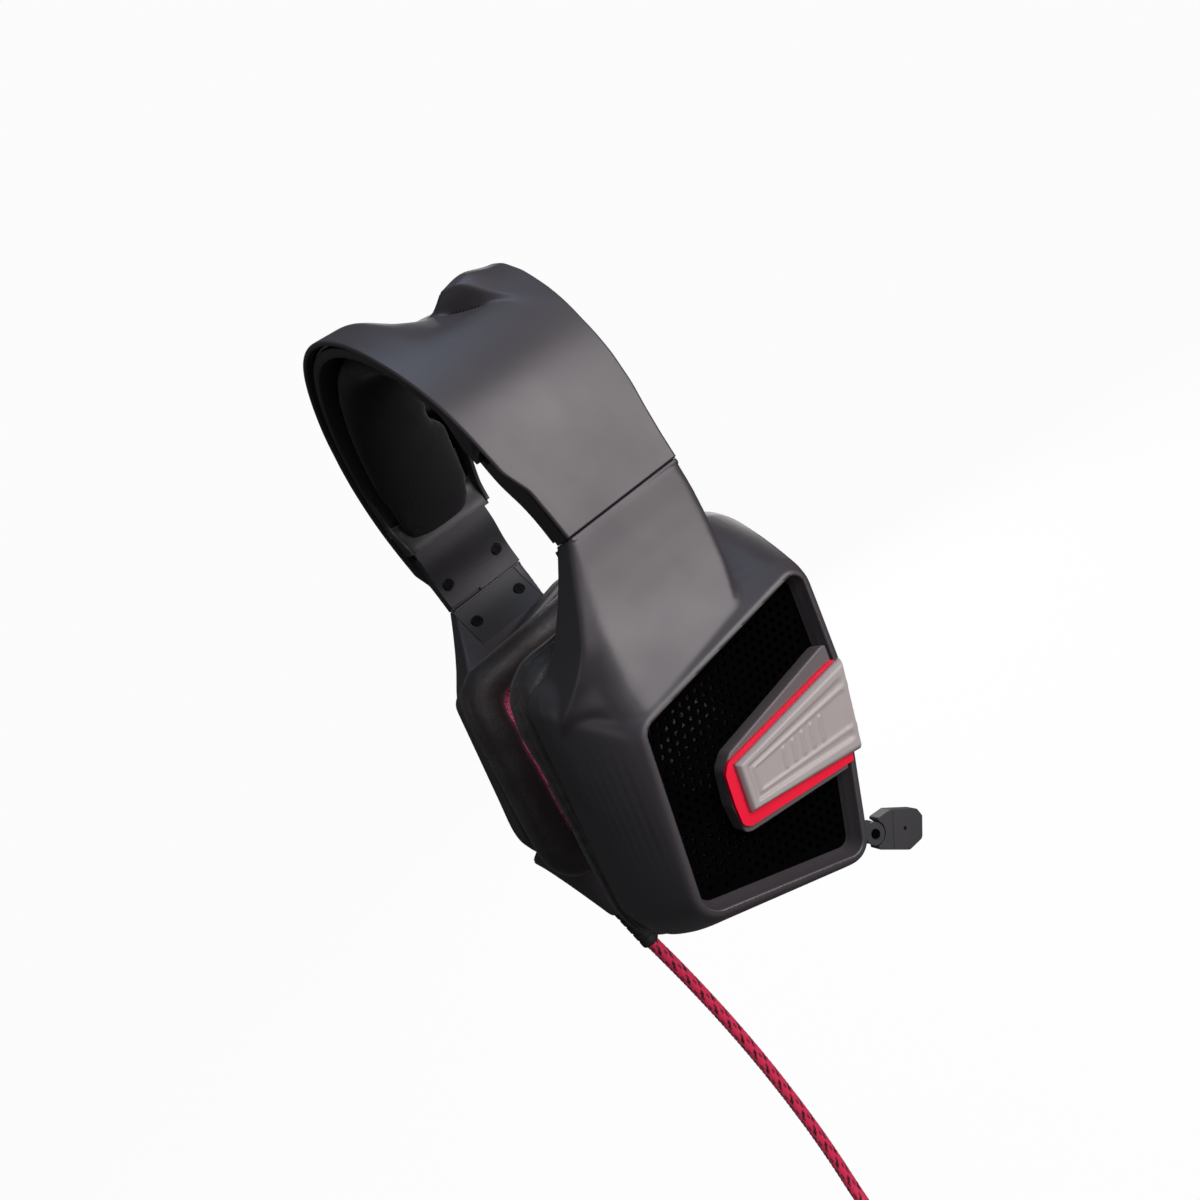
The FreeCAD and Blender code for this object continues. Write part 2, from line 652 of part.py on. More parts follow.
def along_mic(points):
    """(along, across) pairs in the capsule's own plane turned into (y, z)."""
    a = math.radians(MIC_TILT)
    y1, z1 = MIC_HINGE
    cos, sin = math.cos(a), math.sin(a)
    return [(y1 - s * cos - t * sin, z1 - s * sin + t * cos) for s, t in points]


def make_capsule():
    """Flat capsule with a sound hole, a seat for the element, and a tongue for the hinge."""
    y1, z1 = MIC_HINGE
    plate = polygon_slab(along_mic(MIC_PLATE), MIC_X - MIC_T / 2, MIC_X + MIC_T / 2)
    r = MIC_TONGUE_R
    half = MIC_TONGUE_T / 2
    tongue = polygon_slab(along_mic([(0.0, -r), (9.0, -r), (9.0, r), (0.0, r)]), MIC_X - half, MIC_X + half)
    tongue = tongue.fuse(cylinder_mic(half, y1, z1, r))
    body = plate.fuse(tongue).cut(cylinder_mic(MIC_T, y1, z1, MIC_PIN_R + 0.06))
    hole_y, hole_z = along_mic([MIC_HOLE])[0]
    seat = MIC_X - MIC_T / 2 + 2.0
    body = body.cut(cylinder_x(seat - 6, seat, hole_y, hole_z, MIC_HOLE_R))
    body = body.cut(cylinder_x(seat - 0.05, seat + MIC_ELEMENT_T + 0.05, hole_y, hole_z, MIC_ELEMENT_R + 0.1))
    return body.removeSplitter()


def make_mic_pin():
    y1, z1 = MIC_HINGE
    outer = MIC_X - MIC_T / 2
    shaft = cylinder_mic(MIC_T / 2, y1, z1, MIC_PIN_R)
    head = cylinder_x(outer - 0.7, outer, y1, z1, 2.4)
    slot = Part.makeBox(0.5, 3.6, 0.7, Vector(outer - 0.8, y1 - 1.8, z1 - 0.35))
    return shaft.fuse(head).cut(slot)


def make_mic_element():
    y, z = along_mic([MIC_HOLE])[0]
    start = MIC_X - MIC_T / 2 + 2.0
    return cylinder_x(start, start + MIC_ELEMENT_T, y, z, MIC_ELEMENT_R)


def hub_boss():
    """Round seat and spindle for the boom's hub, standing out of the cup's lower front wall."""
    seat = cylinder_x(SHOULDER_X - 6, HUB_SEAT_X, HUB_Y, HUB_Z, HUB_R)
    spindle = cylinder_x(HUB_SEAT_X - 1, HUB_SEAT_X + SPINDLE_LENGTH, HUB_Y, HUB_Z, SPINDLE_R)
    return seat.fuse(spindle)


def cable_boss():
    y0, z0, r0 = BOSS_TOP
    y1, z1, r1 = BOSS_END
    low = Part.Wire(Part.makeCircle(r0, Vector(BOSS_X + 2.5, y0, z0), Vector(0, 0, 1)))
    end = Part.Wire(Part.makeCircle(r1, Vector(BOSS_X, y1, z1), Vector(0, 0, 1)))
    return Part.makeLoft([low, end], True, True)


def make_left_shroud(shroud):
    space = housing_space()
    body = shroud.fuse(hub_boss()).fuse(cable_boss())
    body = body.cut(space)
    bore_y, bore_z, _ = BOSS_END
    bore = Part.makeCylinder(CABLE_R + 0.1, 60, Vector(BOSS_X, bore_y, bore_z - 1), Vector(0, 0, 1))
    return body.cut(bore).removeSplitter()


def make_relief():
    """Tapered strain relief with rings cut round it."""
    y, top, _ = BOSS_END
    body = Part.makeCone(*RELIEF_R, top - RELIEF_END_Z, Vector(BOSS_X, y, top), Vector(0, 0, -1))
    for i in range(RELIEF_RINGS):
        low = Vector(BOSS_X, y, top - RELIEF_FIRST_GAP - RELIEF_RING_PITCH * i - RELIEF_RING_GAP)
        ring = Part.makeCylinder(2 * RELIEF_R[0], RELIEF_RING_GAP, low)
        body = body.cut(ring.cut(Part.makeCylinder(RELIEF_CORE_R, RELIEF_RING_GAP, low)))
    return body.cut(Part.makeCylinder(CABLE_R + 0.05, 60, Vector(BOSS_X, y, RELIEF_END_Z - 1)))


def make_coil():
    return Part.makeTorus(COIL_R, COIL_BUNDLE_R, Vector(*COIL_CENTRE), Vector(0, 1, 0))


def make_tie():
    """Strap round the coil's bundle, at its highest point."""
    x, y, z = COIL_CENTRE
    corner = Vector(x - TIE_WIDTH / 2, y, z + COIL_R)
    outer = Part.makeCylinder(COIL_BUNDLE_R + TIE_T, TIE_WIDTH, corner, Vector(1, 0, 0))
    return outer.cut(Part.makeTorus(COIL_R, COIL_BUNDLE_R + FIT, Vector(x, y, z), Vector(0, 1, 0)))


def make_plug():
    top = Vector(*PLUG_TOP)
    down = Vector(0, 0, -1)
    body = Part.makeCylinder(PLUG_BODY_R, PLUG_BODY_LENGTH, top, down)
    shaft_top = top + down * PLUG_BODY_LENGTH
    shaft_length = PLUG_PIN_LENGTH - PLUG_TIP
    shaft = Part.makeCylinder(PLUG_PIN_R, shaft_length, shaft_top, down)
    tip = Part.makeCone(PLUG_PIN_R, PLUG_PIN_R - 0.7, PLUG_TIP, shaft_top + down * shaft_length, down)
    return body, shaft.fuse(tip)


def make_circuit_board():
    return Part.makeBox(*CIRCUIT_BOARD, Vector(*CIRCUIT_BOARD_AT))


def mirrored(shape):
    return shape.mirror(Vector(0, 0, 0), Vector(1, 0, 0))


def build():
    shroud = make_shroud()
    slab, trim, cap = make_insert()
    basket, magnet, cone = make_driver()
    side = {
        "end_cover": make_end_cover(),
        "end_screws": screws(END_SCREW_X, END_SCREWS),
        "slider_strip": make_strip(),
        "arm_cover": make_arm_cover(),
        "arm_screws": screws(ARM_SCREW_X, ARM_SCREWS),
        "grille": make_grille(),
        "insert_base": slab,
        "insert_trim": trim,
        "insert_cap": cap,
        "baffle": make_baffle(),
        "driver_basket": basket,
        "driver_magnet": magnet,
        "driver_diaphragm": cone,
        "speaker_cloth": make_cloth(),
        "ear_cushion": make_cushion(),
    }
    plug_body, plug_pin = make_plug()
    nodes = {
        "headband_shell": make_shell(),
        "headband_frame": make_frame(),
        "headband_spring": make_spring(),
        "headband_pad": make_pad(),
        "right_shroud": mirrored(shroud),
        "left_shroud": make_left_shroud(shroud),
        "mic_boom": make_boom(),
        "mic_capsule": make_capsule(),
        "mic_hinge_pin": make_mic_pin(),
        "mic_element": make_mic_element(),
        "left_circuit_board": make_circuit_board(),
        "cable_strain_relief": make_relief(),
        "cable": tube(CABLE_ROUTE, CABLE_R, "cable"),
        "cable_tail": tube(CABLE_TAIL, CABLE_R, "cable tail"),
        "cable_coil": make_coil(),
        "cable_tie": make_tie(),
        "plug_body": plug_body,
        "plug_pin": plug_pin,
    }
    for name, shape in side.items():
        nodes["left_" + name] = shape
        nodes["right_" + name] = mirrored(shape)
    return nodes


os.makedirs("parts", exist_ok=True)
for node, shape in build().items():
    if not shape.isValid():
        print("invalid:", node)
    shape.exportStep(f"parts/{node}.step")
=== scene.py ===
import json
import math

import bmesh
import bpy
import numpy as np
from mathutils import Matrix, Vector


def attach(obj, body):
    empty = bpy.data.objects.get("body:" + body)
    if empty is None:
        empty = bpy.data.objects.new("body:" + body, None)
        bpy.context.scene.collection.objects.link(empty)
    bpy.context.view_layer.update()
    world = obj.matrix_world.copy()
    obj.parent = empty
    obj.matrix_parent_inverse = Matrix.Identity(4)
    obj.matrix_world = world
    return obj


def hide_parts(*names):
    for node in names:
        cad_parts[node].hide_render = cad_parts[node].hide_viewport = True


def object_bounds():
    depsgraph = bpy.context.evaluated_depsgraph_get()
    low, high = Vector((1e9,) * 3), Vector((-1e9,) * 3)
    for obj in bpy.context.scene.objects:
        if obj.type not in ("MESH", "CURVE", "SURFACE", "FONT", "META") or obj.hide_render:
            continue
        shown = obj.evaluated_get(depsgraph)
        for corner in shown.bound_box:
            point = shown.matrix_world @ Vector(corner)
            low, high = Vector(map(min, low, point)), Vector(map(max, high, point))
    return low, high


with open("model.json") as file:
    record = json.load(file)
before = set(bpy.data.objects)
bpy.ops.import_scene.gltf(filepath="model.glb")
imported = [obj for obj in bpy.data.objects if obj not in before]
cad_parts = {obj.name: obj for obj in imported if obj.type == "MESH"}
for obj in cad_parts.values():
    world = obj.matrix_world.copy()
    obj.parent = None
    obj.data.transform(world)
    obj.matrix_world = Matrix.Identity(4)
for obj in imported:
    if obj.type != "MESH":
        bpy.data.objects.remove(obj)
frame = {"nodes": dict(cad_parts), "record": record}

# Shapes are worked out in millimetres and scaled to metres as each mesh is made.
MM = 0.001
SIDES = {"left": 1.0, "right": -1.0}
scene = bpy.context.scene
cad_low, cad_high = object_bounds()


# ---------------------------------------------------------------- camera, light and backdrop

CAMERA_AT = (-0.26054, 0.06723, 0.07262)
CAMERA_RIGHT = (-0.338298, -0.727533, -0.596867)
CAMERA_UP = (-0.115475, -0.597376, 0.793604)
CAMERA_BACK = (-0.933927, 0.337398, 0.118079)
FLOOR_Z = cad_low.z - 0.012


def make_camera():
    data = bpy.data.cameras.new("camera")
    data.lens = 24.0
    data.sensor_width = 36.0
    data.clip_start = 0.01
    camera = bpy.data.objects.new("camera", data)
    scene.collection.objects.link(camera)
    turn = Matrix((CAMERA_RIGHT, CAMERA_UP, CAMERA_BACK)).transposed()
    camera.matrix_world = Matrix.Translation(CAMERA_AT) @ turn.to_4x4()
    scene.camera = camera


def area_light(name, direction, distance, size, power, color):
    data = bpy.data.lights.new(name, "AREA")
    data.shape = "DISK"
    data.size = size
    data.energy = power
    data.color = color
    lamp = bpy.data.objects.new(name, data)
    scene.collection.objects.link(lamp)
    way = Vector(direction).normalized()
    lamp.location = way * distance + Vector((0, 0, 0.02))
    lamp.rotation_mode = "QUATERNION"
    lamp.rotation_quaternion = way.to_track_quat("Z", "Y")


def show_to_camera(tree, seen, unseen, output):
    """The camera sees one shader directly, and every other ray meets the other one."""
    path = tree.nodes.new("ShaderNodeLightPath")
    mix = tree.nodes.new("ShaderNodeMixShader")
    tree.links.new(path.outputs["Is Camera Ray"], mix.inputs["Fac"])
    tree.links.new(unseen.outputs[0], mix.inputs[1])
    tree.links.new(seen.outputs[0], mix.inputs[2])
    tree.links.new(mix.outputs[0], tree.nodes.new(output).inputs["Surface"])


def make_world():
    """White to look at, and a dim even light on the object."""
    world = bpy.data.worlds.new("studio")
    world.use_nodes = True
    scene.world = world
    nodes = world.node_tree.nodes
    nodes.clear()
    seen = nodes.new("ShaderNodeBackground")
    seen.inputs["Color"].default_value = (0.97, 0.97, 0.97, 1)
    seen.inputs["Strength"].default_value = 1.0
    light = nodes.new("ShaderNodeBackground")
    light.inputs["Color"].default_value = (0.93, 0.95, 1.0, 1)
    light.inputs["Strength"].default_value = 0.05
    show_to_camera(world.node_tree, seen, light, "ShaderNodeOutputWorld")


def make_floor():
    """Pale floor that looks evenly lit and sends little light back up to the object."""
    size = 8.0
    mesh = bpy.data.meshes.new("floor")
    corners = [(-size, -size), (size, -size), (size, size), (-size, size)]
    mesh.from_pydata([(x, y, FLOOR_Z) for x, y in corners], [], [(0, 1, 2, 3)])
    floor = bpy.data.objects.new("floor", mesh)
    scene.collection.objects.link(floor)
    material = bpy.data.materials.new("floor_paper")
    material.use_nodes = True
    nodes = material.node_tree.nodes
    nodes.clear()
    paper = nodes.new("ShaderNodeBsdfPrincipled")
    paper.inputs["Base Color"].default_value = (0.02, 0.02, 0.02, 1)
    paper.inputs["Roughness"].default_value = 0.95
    paper.inputs["Emission Color"].default_value = (1, 1, 1, 1)
    paper.inputs["Emission Strength"].default_value = 0.962
    dull = nodes.new("ShaderNodeBsdfDiffuse")
    dull.inputs["Color"].default_value = (0.12, 0.12, 0.12, 1)
    show_to_camera(material.node_tree, paper, dull, "ShaderNodeOutputMaterial")
    mesh.materials.append(material)


# Name, direction from the object, distance, diameter, watts and colour
LIGHTS = [
    ("key", (-0.90, -0.32, 0.33), 1.1, 0.9, 13.0, (1.0, 0.955, 0.965)),
    ("eye_fill", (-0.85, 0.42, 0.30), 0.9, 0.25, 0.35, (1.0, 0.96, 0.95)),
    ("sky", (-0.15, -0.1, 1.0), 1.2, 0.7, 3.0, (0.55, 0.75, 1.0)),
    ("far_fill", (0.75, -0.62, 0.3), 1.3, 1.0, 6.0, (1.0, 0.98, 0.96)),
    ("rear_top", (0.25, 0.85, 0.35), 1.3, 0.45, 0.8, (1.0, 0.97, 0.97)),
]

make_camera()
make_world()
make_floor()
scene.view_settings.view_transform = "Standard"
for row in LIGHTS:
    area_light(*row)


# ---------------------------------------------------------------- mesh helpers


def mesh_piece(name, points, faces, smooth=True):
    """A new object from points in millimetres."""
    mesh = bpy.data.meshes.new(name)
    mesh.from_pydata((np.asarray(points, float) * MM).tolist(), [], [list(map(int, f)) for f in faces])
    mesh.update()
    if smooth:
        mesh.shade_smooth()
    piece = bpy.data.objects.new(name, mesh)
    scene.collection.objects.link(piece)
    return piece


def ring_faces(rows, columns, closed=False):
    """Quads over rows of closed rings; closed joins the last row to the first."""
    faces = []
    for i in range(rows if closed else rows - 1):
        j = (i + 1) % rows
        for a in range(columns):
            b = (a + 1) % columns
            faces.append((i * columns + a, i * columns + b, j * columns + b, j * columns + a))
    return faces


def loft(name, sections, closed=False):
    """A closed body through rings with the same number of points."""
    rows, columns = len(sections), len(sections[0])
    points = np.concatenate([np.asarray(s, float) for s in sections])
    faces = ring_faces(rows, columns, closed)
    if not closed:
        faces.append(tuple(range(columns)))
        faces.append(tuple(range((rows - 1) * columns, rows * columns)))
    piece = mesh_piece(name, points, faces)
    outward(piece)
    return piece


def outward(piece):
    work = bmesh.new()
    work.from_mesh(piece.data)
    bmesh.ops.recalc_face_normals(work, faces=work.faces)
    work.to_mesh(piece.data)
    work.free()


def bake(piece):
    """Keep what the modifiers make as the piece's own mesh."""
    graph = bpy.context.evaluated_depsgraph_get()
    made = bpy.data.meshes.new_from_object(piece.evaluated_get(graph), depsgraph=graph)
    piece.modifiers.clear()
    piece.data = made
    return piece


def modify(piece, kind, **settings):
    modifier = piece.modifiers.new(kind.lower(), kind)
    for key, value in settings.items():
        setattr(modifier, key, value)
    return modifier


def subdivide(piece):
    modify(piece, "SUBSURF", levels=1, render_levels=1)


def combine(piece, other, operation):
    modify(piece, "BOOLEAN", operation=operation, object=other, solver="EXACT")
    bake(piece)
    bpy.data.objects.remove(other)
    return piece


def join(piece, *others):
    for other in others:
        combine(piece, other, "UNION")
    return piece


def cut(piece, *tools):
    for tool in tools:
        combine(piece, tool, "DIFFERENCE")
    return piece


def circle(steps):
    """Cosines and sines of evenly spaced angles."""
    angles = np.linspace(0, 2 * math.pi, steps, endpoint=False)
    return np.cos(angles), np.sin(angles)


def block(name, profile, y0, y1, side=1.0):
    """Body between two values of y from an XZ profile."""
    return loft(name, [np.array([(x * side, y, z) for x, z in profile]) for y in (y0, y1)])


def rod(name, x0, x1, y, z, r, side=1.0, segments=32):
    """Round rod along X."""
    c, s = circle(segments)
    return prism(name, np.column_stack([y + r * c, z + r * s]), x0, x1, side)


def prism(name, outline, x0, x1, side=1.0):
    """Body between two values of x from a (y, z) outline."""
    return loft(name, [at_x(outline, x0, side), at_x(outline, x1, side)])


def soften(piece, voxel, rounds):
    """Even mesh with the sharp edges eased, as moulded plastic has."""
    modify(piece, "REMESH", mode="VOXEL", voxel_size=voxel * MM, use_smooth_shade=True)
    bake(piece)
    modify(piece, "SMOOTH", factor=0.5, iterations=rounds)
    bake(piece)
    piece.data.shade_smooth()
    return piece


def bevel(piece, width, segments=2, angle=32):
    limit = math.radians(angle)
    modify(piece, "BEVEL", width=width * MM, segments=segments, limit_method="ANGLE", angle_limit=limit)
    bake(piece)
    piece.data.shade_smooth()
    modify(piece, "WEIGHTED_NORMAL", keep_sharp=True)
    return bake(piece)


def natural_spline(knots, values, at):
    """Smooth curve through the values, one column each, at the given places."""
    knots, values = np.asarray(knots, float), np.asarray(values, float)
    count = len(knots)
    gaps = np.diff(knots)
    matrix = np.eye(count)
    right = np.zeros((count, values.shape[1]))
    for i in range(1, count - 1):
        matrix[i, i - 1:i + 2] = gaps[i - 1], 2 * (gaps[i - 1] + gaps[i]), gaps[i]
        right[i] = 6 * ((values[i + 1] - values[i]) / gaps[i] - (values[i] - values[i - 1]) / gaps[i - 1])
    bend = np.linalg.solve(matrix, right)
    at = np.atleast_1d(at)
    i = np.clip(np.searchsorted(knots, at) - 1, 0, count - 2)
    h = gaps[i][:, None]
    a = (knots[i + 1] - at)[:, None]
    b = (at - knots[i])[:, None]
    bent = (bend[i] * a**3 + bend[i + 1] * b**3) / (6 * h)
    straight = (values[i] / h - bend[i] * h / 6) * a + (values[i + 1] / h - bend[i + 1] * h / 6) * b
    return bent + straight


def eased(rows, at, blur):
    """Columns of rows read at places along the first column, with the corners blurred a little."""
    rows = np.asarray(rows, float)
    offsets = np.linspace(-2, 2, 17) * blur
    weights = np.exp(-(offsets / blur) ** 2)
    weights /= weights.sum()
    at = np.asarray(at, float)
    found = []
    for column in rows.T[1:]:
        near = [np.interp(at + offset, rows[:, 0], column) * w for offset, w in zip(offsets, weights)]
        found.append(sum(near))
    return np.array(found).T


def signed_area(outline):
    """Area inside a closed outline, negative where it runs clockwise."""
    following = np.roll(outline, -1, axis=0)
    return np.sum(outline[:, 0] * following[:, 1] - following[:, 0] * outline[:, 1]) / 2


def rounded(corners, grow=0.0, steps=9):
    """Closed outline of (y, z) points with an arc at each corner; grow moves the sides outward."""
    corners = np.asarray(corners, float)
    points = corners[:, :2]
    count = len(points)
    turn = np.sign(signed_area(points))
    ways = np.roll(points, -1, axis=0) - points
    ways /= np.linalg.norm(ways, axis=1)[:, None]
    sides = points + np.stack([ways[:, 1], -ways[:, 0]], 1) * turn * grow
    found = []
    for i in range(count):
        before, after = ways[i - 1], ways[i]
        gap = sides[i] - sides[i - 1]
        cross = before[0] * after[1] - before[1] * after[0]
        corner = sides[i - 1] + before * (gap[0] * after[1] - gap[1] * after[0]) / cross
        angle = math.acos(np.clip(before @ after, -1, 1))
        radius = max(corners[i, 2] + grow, 0.5)
        shorter = min(np.linalg.norm(gap), np.linalg.norm(sides[(i + 1) % count] - sides[i]))
        cut = min(radius * math.tan(angle / 2), 0.46 * shorter)
        radius = cut / math.tan(angle / 2)
        start, normal = corner - before * cut, np.array([-before[1], before[0]]) * turn
        centre = start + normal * radius
        for k in range(steps + 1):
            a = angle * k / steps
            found.append(centre - normal * radius * math.cos(a) + before * radius * math.sin(a))
    return np.array(found)


def at_x(outline, x, side=1.0):
    return np.column_stack([np.full(len(outline), x * side), outline])


def dress(piece, body, slot, *replaced, material=None):
    """Body, record slot with its material, and the CAD nodes that a piece stands for."""
    piece.data.materials.clear()
    piece.data.materials.append(MATERIALS[material or slot])
    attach(piece, body)
    if replaced:
        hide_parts(*replaced)
    return piece


# ---------------------------------------------------------------- materials


class Surface:
    """A Principled material with short ways to add nodes."""

    def __init__(self, name, color, roughness, **sockets):
        self.material = bpy.data.materials.new(name)
        self.material.use_nodes = True
        self.tree = self.material.node_tree
        self.shader = self.tree.nodes["Principled BSDF"]
        self.color = (*color, 1)
        self.shader.inputs["Base Color"].default_value = self.color
        self.shader.inputs["Roughness"].default_value = roughness
        for key, value in sockets.items():
            self.shader.inputs[key.replace("_", " ")].default_value = value
        self.place = self.tree.nodes.new("ShaderNodeTexCoord").outputs["Object"]

    def add(self, kind, links=None, **inputs):
        node = self.tree.nodes.new(kind)
        for key, value in inputs.items():
            node.inputs[key.replace("_", " ")].default_value = value
        for key, output in (links or {}).items():
            self.tree.links.new(output, node.inputs[key])
        return node

    def noise(self, size_mm, detail=3.0, roughness=0.5, stretch=None):
        place = self.place
        if stretch:
            place = self.add("ShaderNodeMapping", {"Vector": place}, Scale=stretch).outputs[0]
        scale = 1000.0 / size_mm
        sockets = {"Vector": place}
        node = self.add("ShaderNodeTexNoise", sockets, Scale=scale, Detail=detail, Roughness=roughness)
        return node.outputs["Fac"]

    def ramp(self, value, low, high, low_at=0.3, high_at=0.7):
        node = self.add("ShaderNodeMapRange", {"Value": value})
        for key, number in (("From Min", low_at), ("From Max", high_at), ("To Min", low), ("To Max", high)):
            node.inputs[key].default_value = number
        return node.outputs[0]

    def math(self, operation, a, b):
        node = self.add("ShaderNodeMath")
        node.operation = operation
        for socket, value in zip(node.inputs, (a, b)):
            if isinstance(value, (int, float)):
                socket.default_value = value
            else:
                self.tree.links.new(value, socket)
        return node.outputs[0]

    def mix(self, fac, first, second):
        node = self.tree.nodes.new("ShaderNodeMix")
        node.data_type = "RGBA"
        self.tree.links.new(fac, node.inputs[0])
        for socket, value in ((node.inputs[6], first), (node.inputs[7], second)):
            if isinstance(value, tuple):
                socket.default_value = (*value, 1)[:4]
            else:
                self.tree.links.new(value, socket)
        return node.outputs[2]

    def bump(self, height, strength, depth_mm):
        """Adds bump on top of any bump already there."""
        node = self.add("ShaderNodeBump", {"Height": height}, Strength=strength, Distance=depth_mm * MM)
        normal = self.shader.inputs["Normal"]
        if normal.links:
            self.tree.links.new(normal.links[0].from_socket, node.inputs["Normal"])
        self.tree.links.new(node.outputs[0], normal)

    def set(self, name, output):
        self.tree.links.new(output, self.shader.inputs[name])


def moulded_plastic(name, color, roughness, grain_mm=0.35, grain=0.16, **sockets):
    """Spark-eroded moulding: a fine grain, slight mottling and rubbed patches of gloss."""
    s = Surface(name, color, roughness, **sockets)
    fine = s.noise(grain_mm, 2.0, 0.6)
    broad = s.noise(26.0, 4.0, 0.55)
    s.bump(fine, grain, 0.05)
    s.set("Roughness", s.ramp(broad, roughness - 0.05, roughness + 0.06))
    light = tuple(c * 1.08 for c in color)
    dark = tuple(c * 0.93 for c in color)
    s.set("Base Color", s.mix(broad, dark, light))
    return s.material


def leatherette(name, color):
    """Small uneven pebbled cells with creases between them painted darker as shade, and long soft wrinkles.
    """
    s = Surface(name, color, 0.42, Specular_IOR_Level=0.55, Sheen_Weight=0.12, Sheen_Roughness=0.4)
    uneven = s.add("ShaderNodeTexNoise", {"Vector": s.place}, Scale=160.0).outputs["Color"]
    shift = s.add("ShaderNodeVectorMath", {0: uneven})
    shift.operation = "SCALE"
    shift.inputs["Scale"].default_value = 0.004
    warped = s.add("ShaderNodeVectorMath", {0: s.place, 1: uneven, 2: shift.outputs[0]})
    warped.operation = "MULTIPLY_ADD"
    cells = s.add("ShaderNodeTexVoronoi", {"Vector": warped.outputs[0]}, Scale=760.0)
    cells.feature = "DISTANCE_TO_EDGE"
    pebble = s.ramp(cells.outputs["Distance"], 0.0, 1.0, 0.0, 0.22)
    s.bump(s.noise(14.0, 3.0, 0.5, (1, 1, 0.6)), 0.35, 0.9)
    s.bump(pebble, 0.3, 0.12)
    s.set("Roughness", s.ramp(pebble, 0.58, 0.40, 0.0, 1.0))
    # Painted shade: the creases between cells are darker.
    s.set("Base Color", s.mix(pebble, tuple(c * 0.55 for c in color), color))
    return s.material


def knitted(name, color, thread_mm=0.7, sheen=0.35):
    """Close plain weave: two crossed sets of rounded threads, with painted shade between them."""
    s = Surface(name, color, 0.92, Sheen_Weight=sheen, Sheen_Roughness=0.55, Specular_IOR_Level=0.2)
    waves = []
    scale = 1000.0 / (thread_mm * 3.14)
    for angle in (math.radians(35.0), math.radians(125.0)):
        place = s.add("ShaderNodeMapping", {"Vector": s.place}, Rotation=(angle, 0.3, angle)).outputs[0]
        wave = s.add("ShaderNodeTexWave", {"Vector": place}, Scale=scale, Distortion=0.6, Detail=1.0)
        waves.append(wave.outputs["Fac"])
    weave = s.math("MAXIMUM", waves[0], waves[1])
    s.bump(weave, 0.35, 0.10)
    s.bump(s.noise(9.0, 3.0), 0.2, 0.4)
    # Painted shade: darker between the threads.
    dark = tuple(c * 0.45 for c in color)
    s.set("Base Color", s.mix(weave, dark, color))
    return s.material


def open_mesh_cloth(name, thread, gap):
    """Open knit: bright threads round small holes painted dark as the shade behind them, and lighter pink
    patches painted as highlights on the threads.
    """
    s = Surface(name, thread, 0.75, Sheen_Weight=0.3, Sheen_Roughness=0.4)
    holes = s.add("ShaderNodeTexVoronoi", {"Vector": s.place}, Scale=820.0, Randomness=0.35)
    solid = s.ramp(holes.outputs["Distance"], 0.0, 1.0, 0.22, 0.42)
    # Painted highlight: lighter pink patches on the threads.
    tone = s.mix(s.noise(1.1, 2.0), thread, tuple(min(1, c + 0.16) for c in thread))
    # Painted shade: the holes are dark.
    s.set("Base Color", s.mix(solid, gap, tone))
    s.bump(solid, 0.6, 0.25)
    return s.material


def metal(name, color, roughness, stretch=(1, 1, 30)):
    """Drawn metal with fine lines along it."""
    s = Surface(name, color, roughness, Metallic=1.0)
    lines = s.noise(0.5, 3.0, 0.6, tuple(1.0 / v for v in stretch))
    s.set("Roughness", s.ramp(lines, roughness - 0.08, roughness + 0.12))
    s.bump(lines, 0.12, 0.03)
    return s.material


def braid(name):
    """Takes each strand's colour from the mesh, with the threads of a strand as fine bump."""
    s = Surface(name, (0.4, 0.02, 0.07), 0.62, Sheen_Weight=0.25, Sheen_Roughness=0.4)
    strand = s.tree.nodes.new("ShaderNodeVertexColor")
    strand.layer_name = "strand"
    threads = s.noise(0.25, 2.0, 0.7)
    shade = s.tree.nodes.new("ShaderNodeMix")
    shade.data_type = "RGBA"
    shade.blend_type = "MULTIPLY"
    shade.inputs[0].default_value = 0.5
    s.tree.links.new(strand.outputs["Color"], shade.inputs[6])
    s.tree.links.new(s.mix(threads, (0.45, 0.45, 0.45), (1.0, 1.0, 1.0)), shade.inputs[7])
    s.set("Base Color", shade.outputs[2])
    s.bump(threads, 0.3, 0.08)
    return s.material


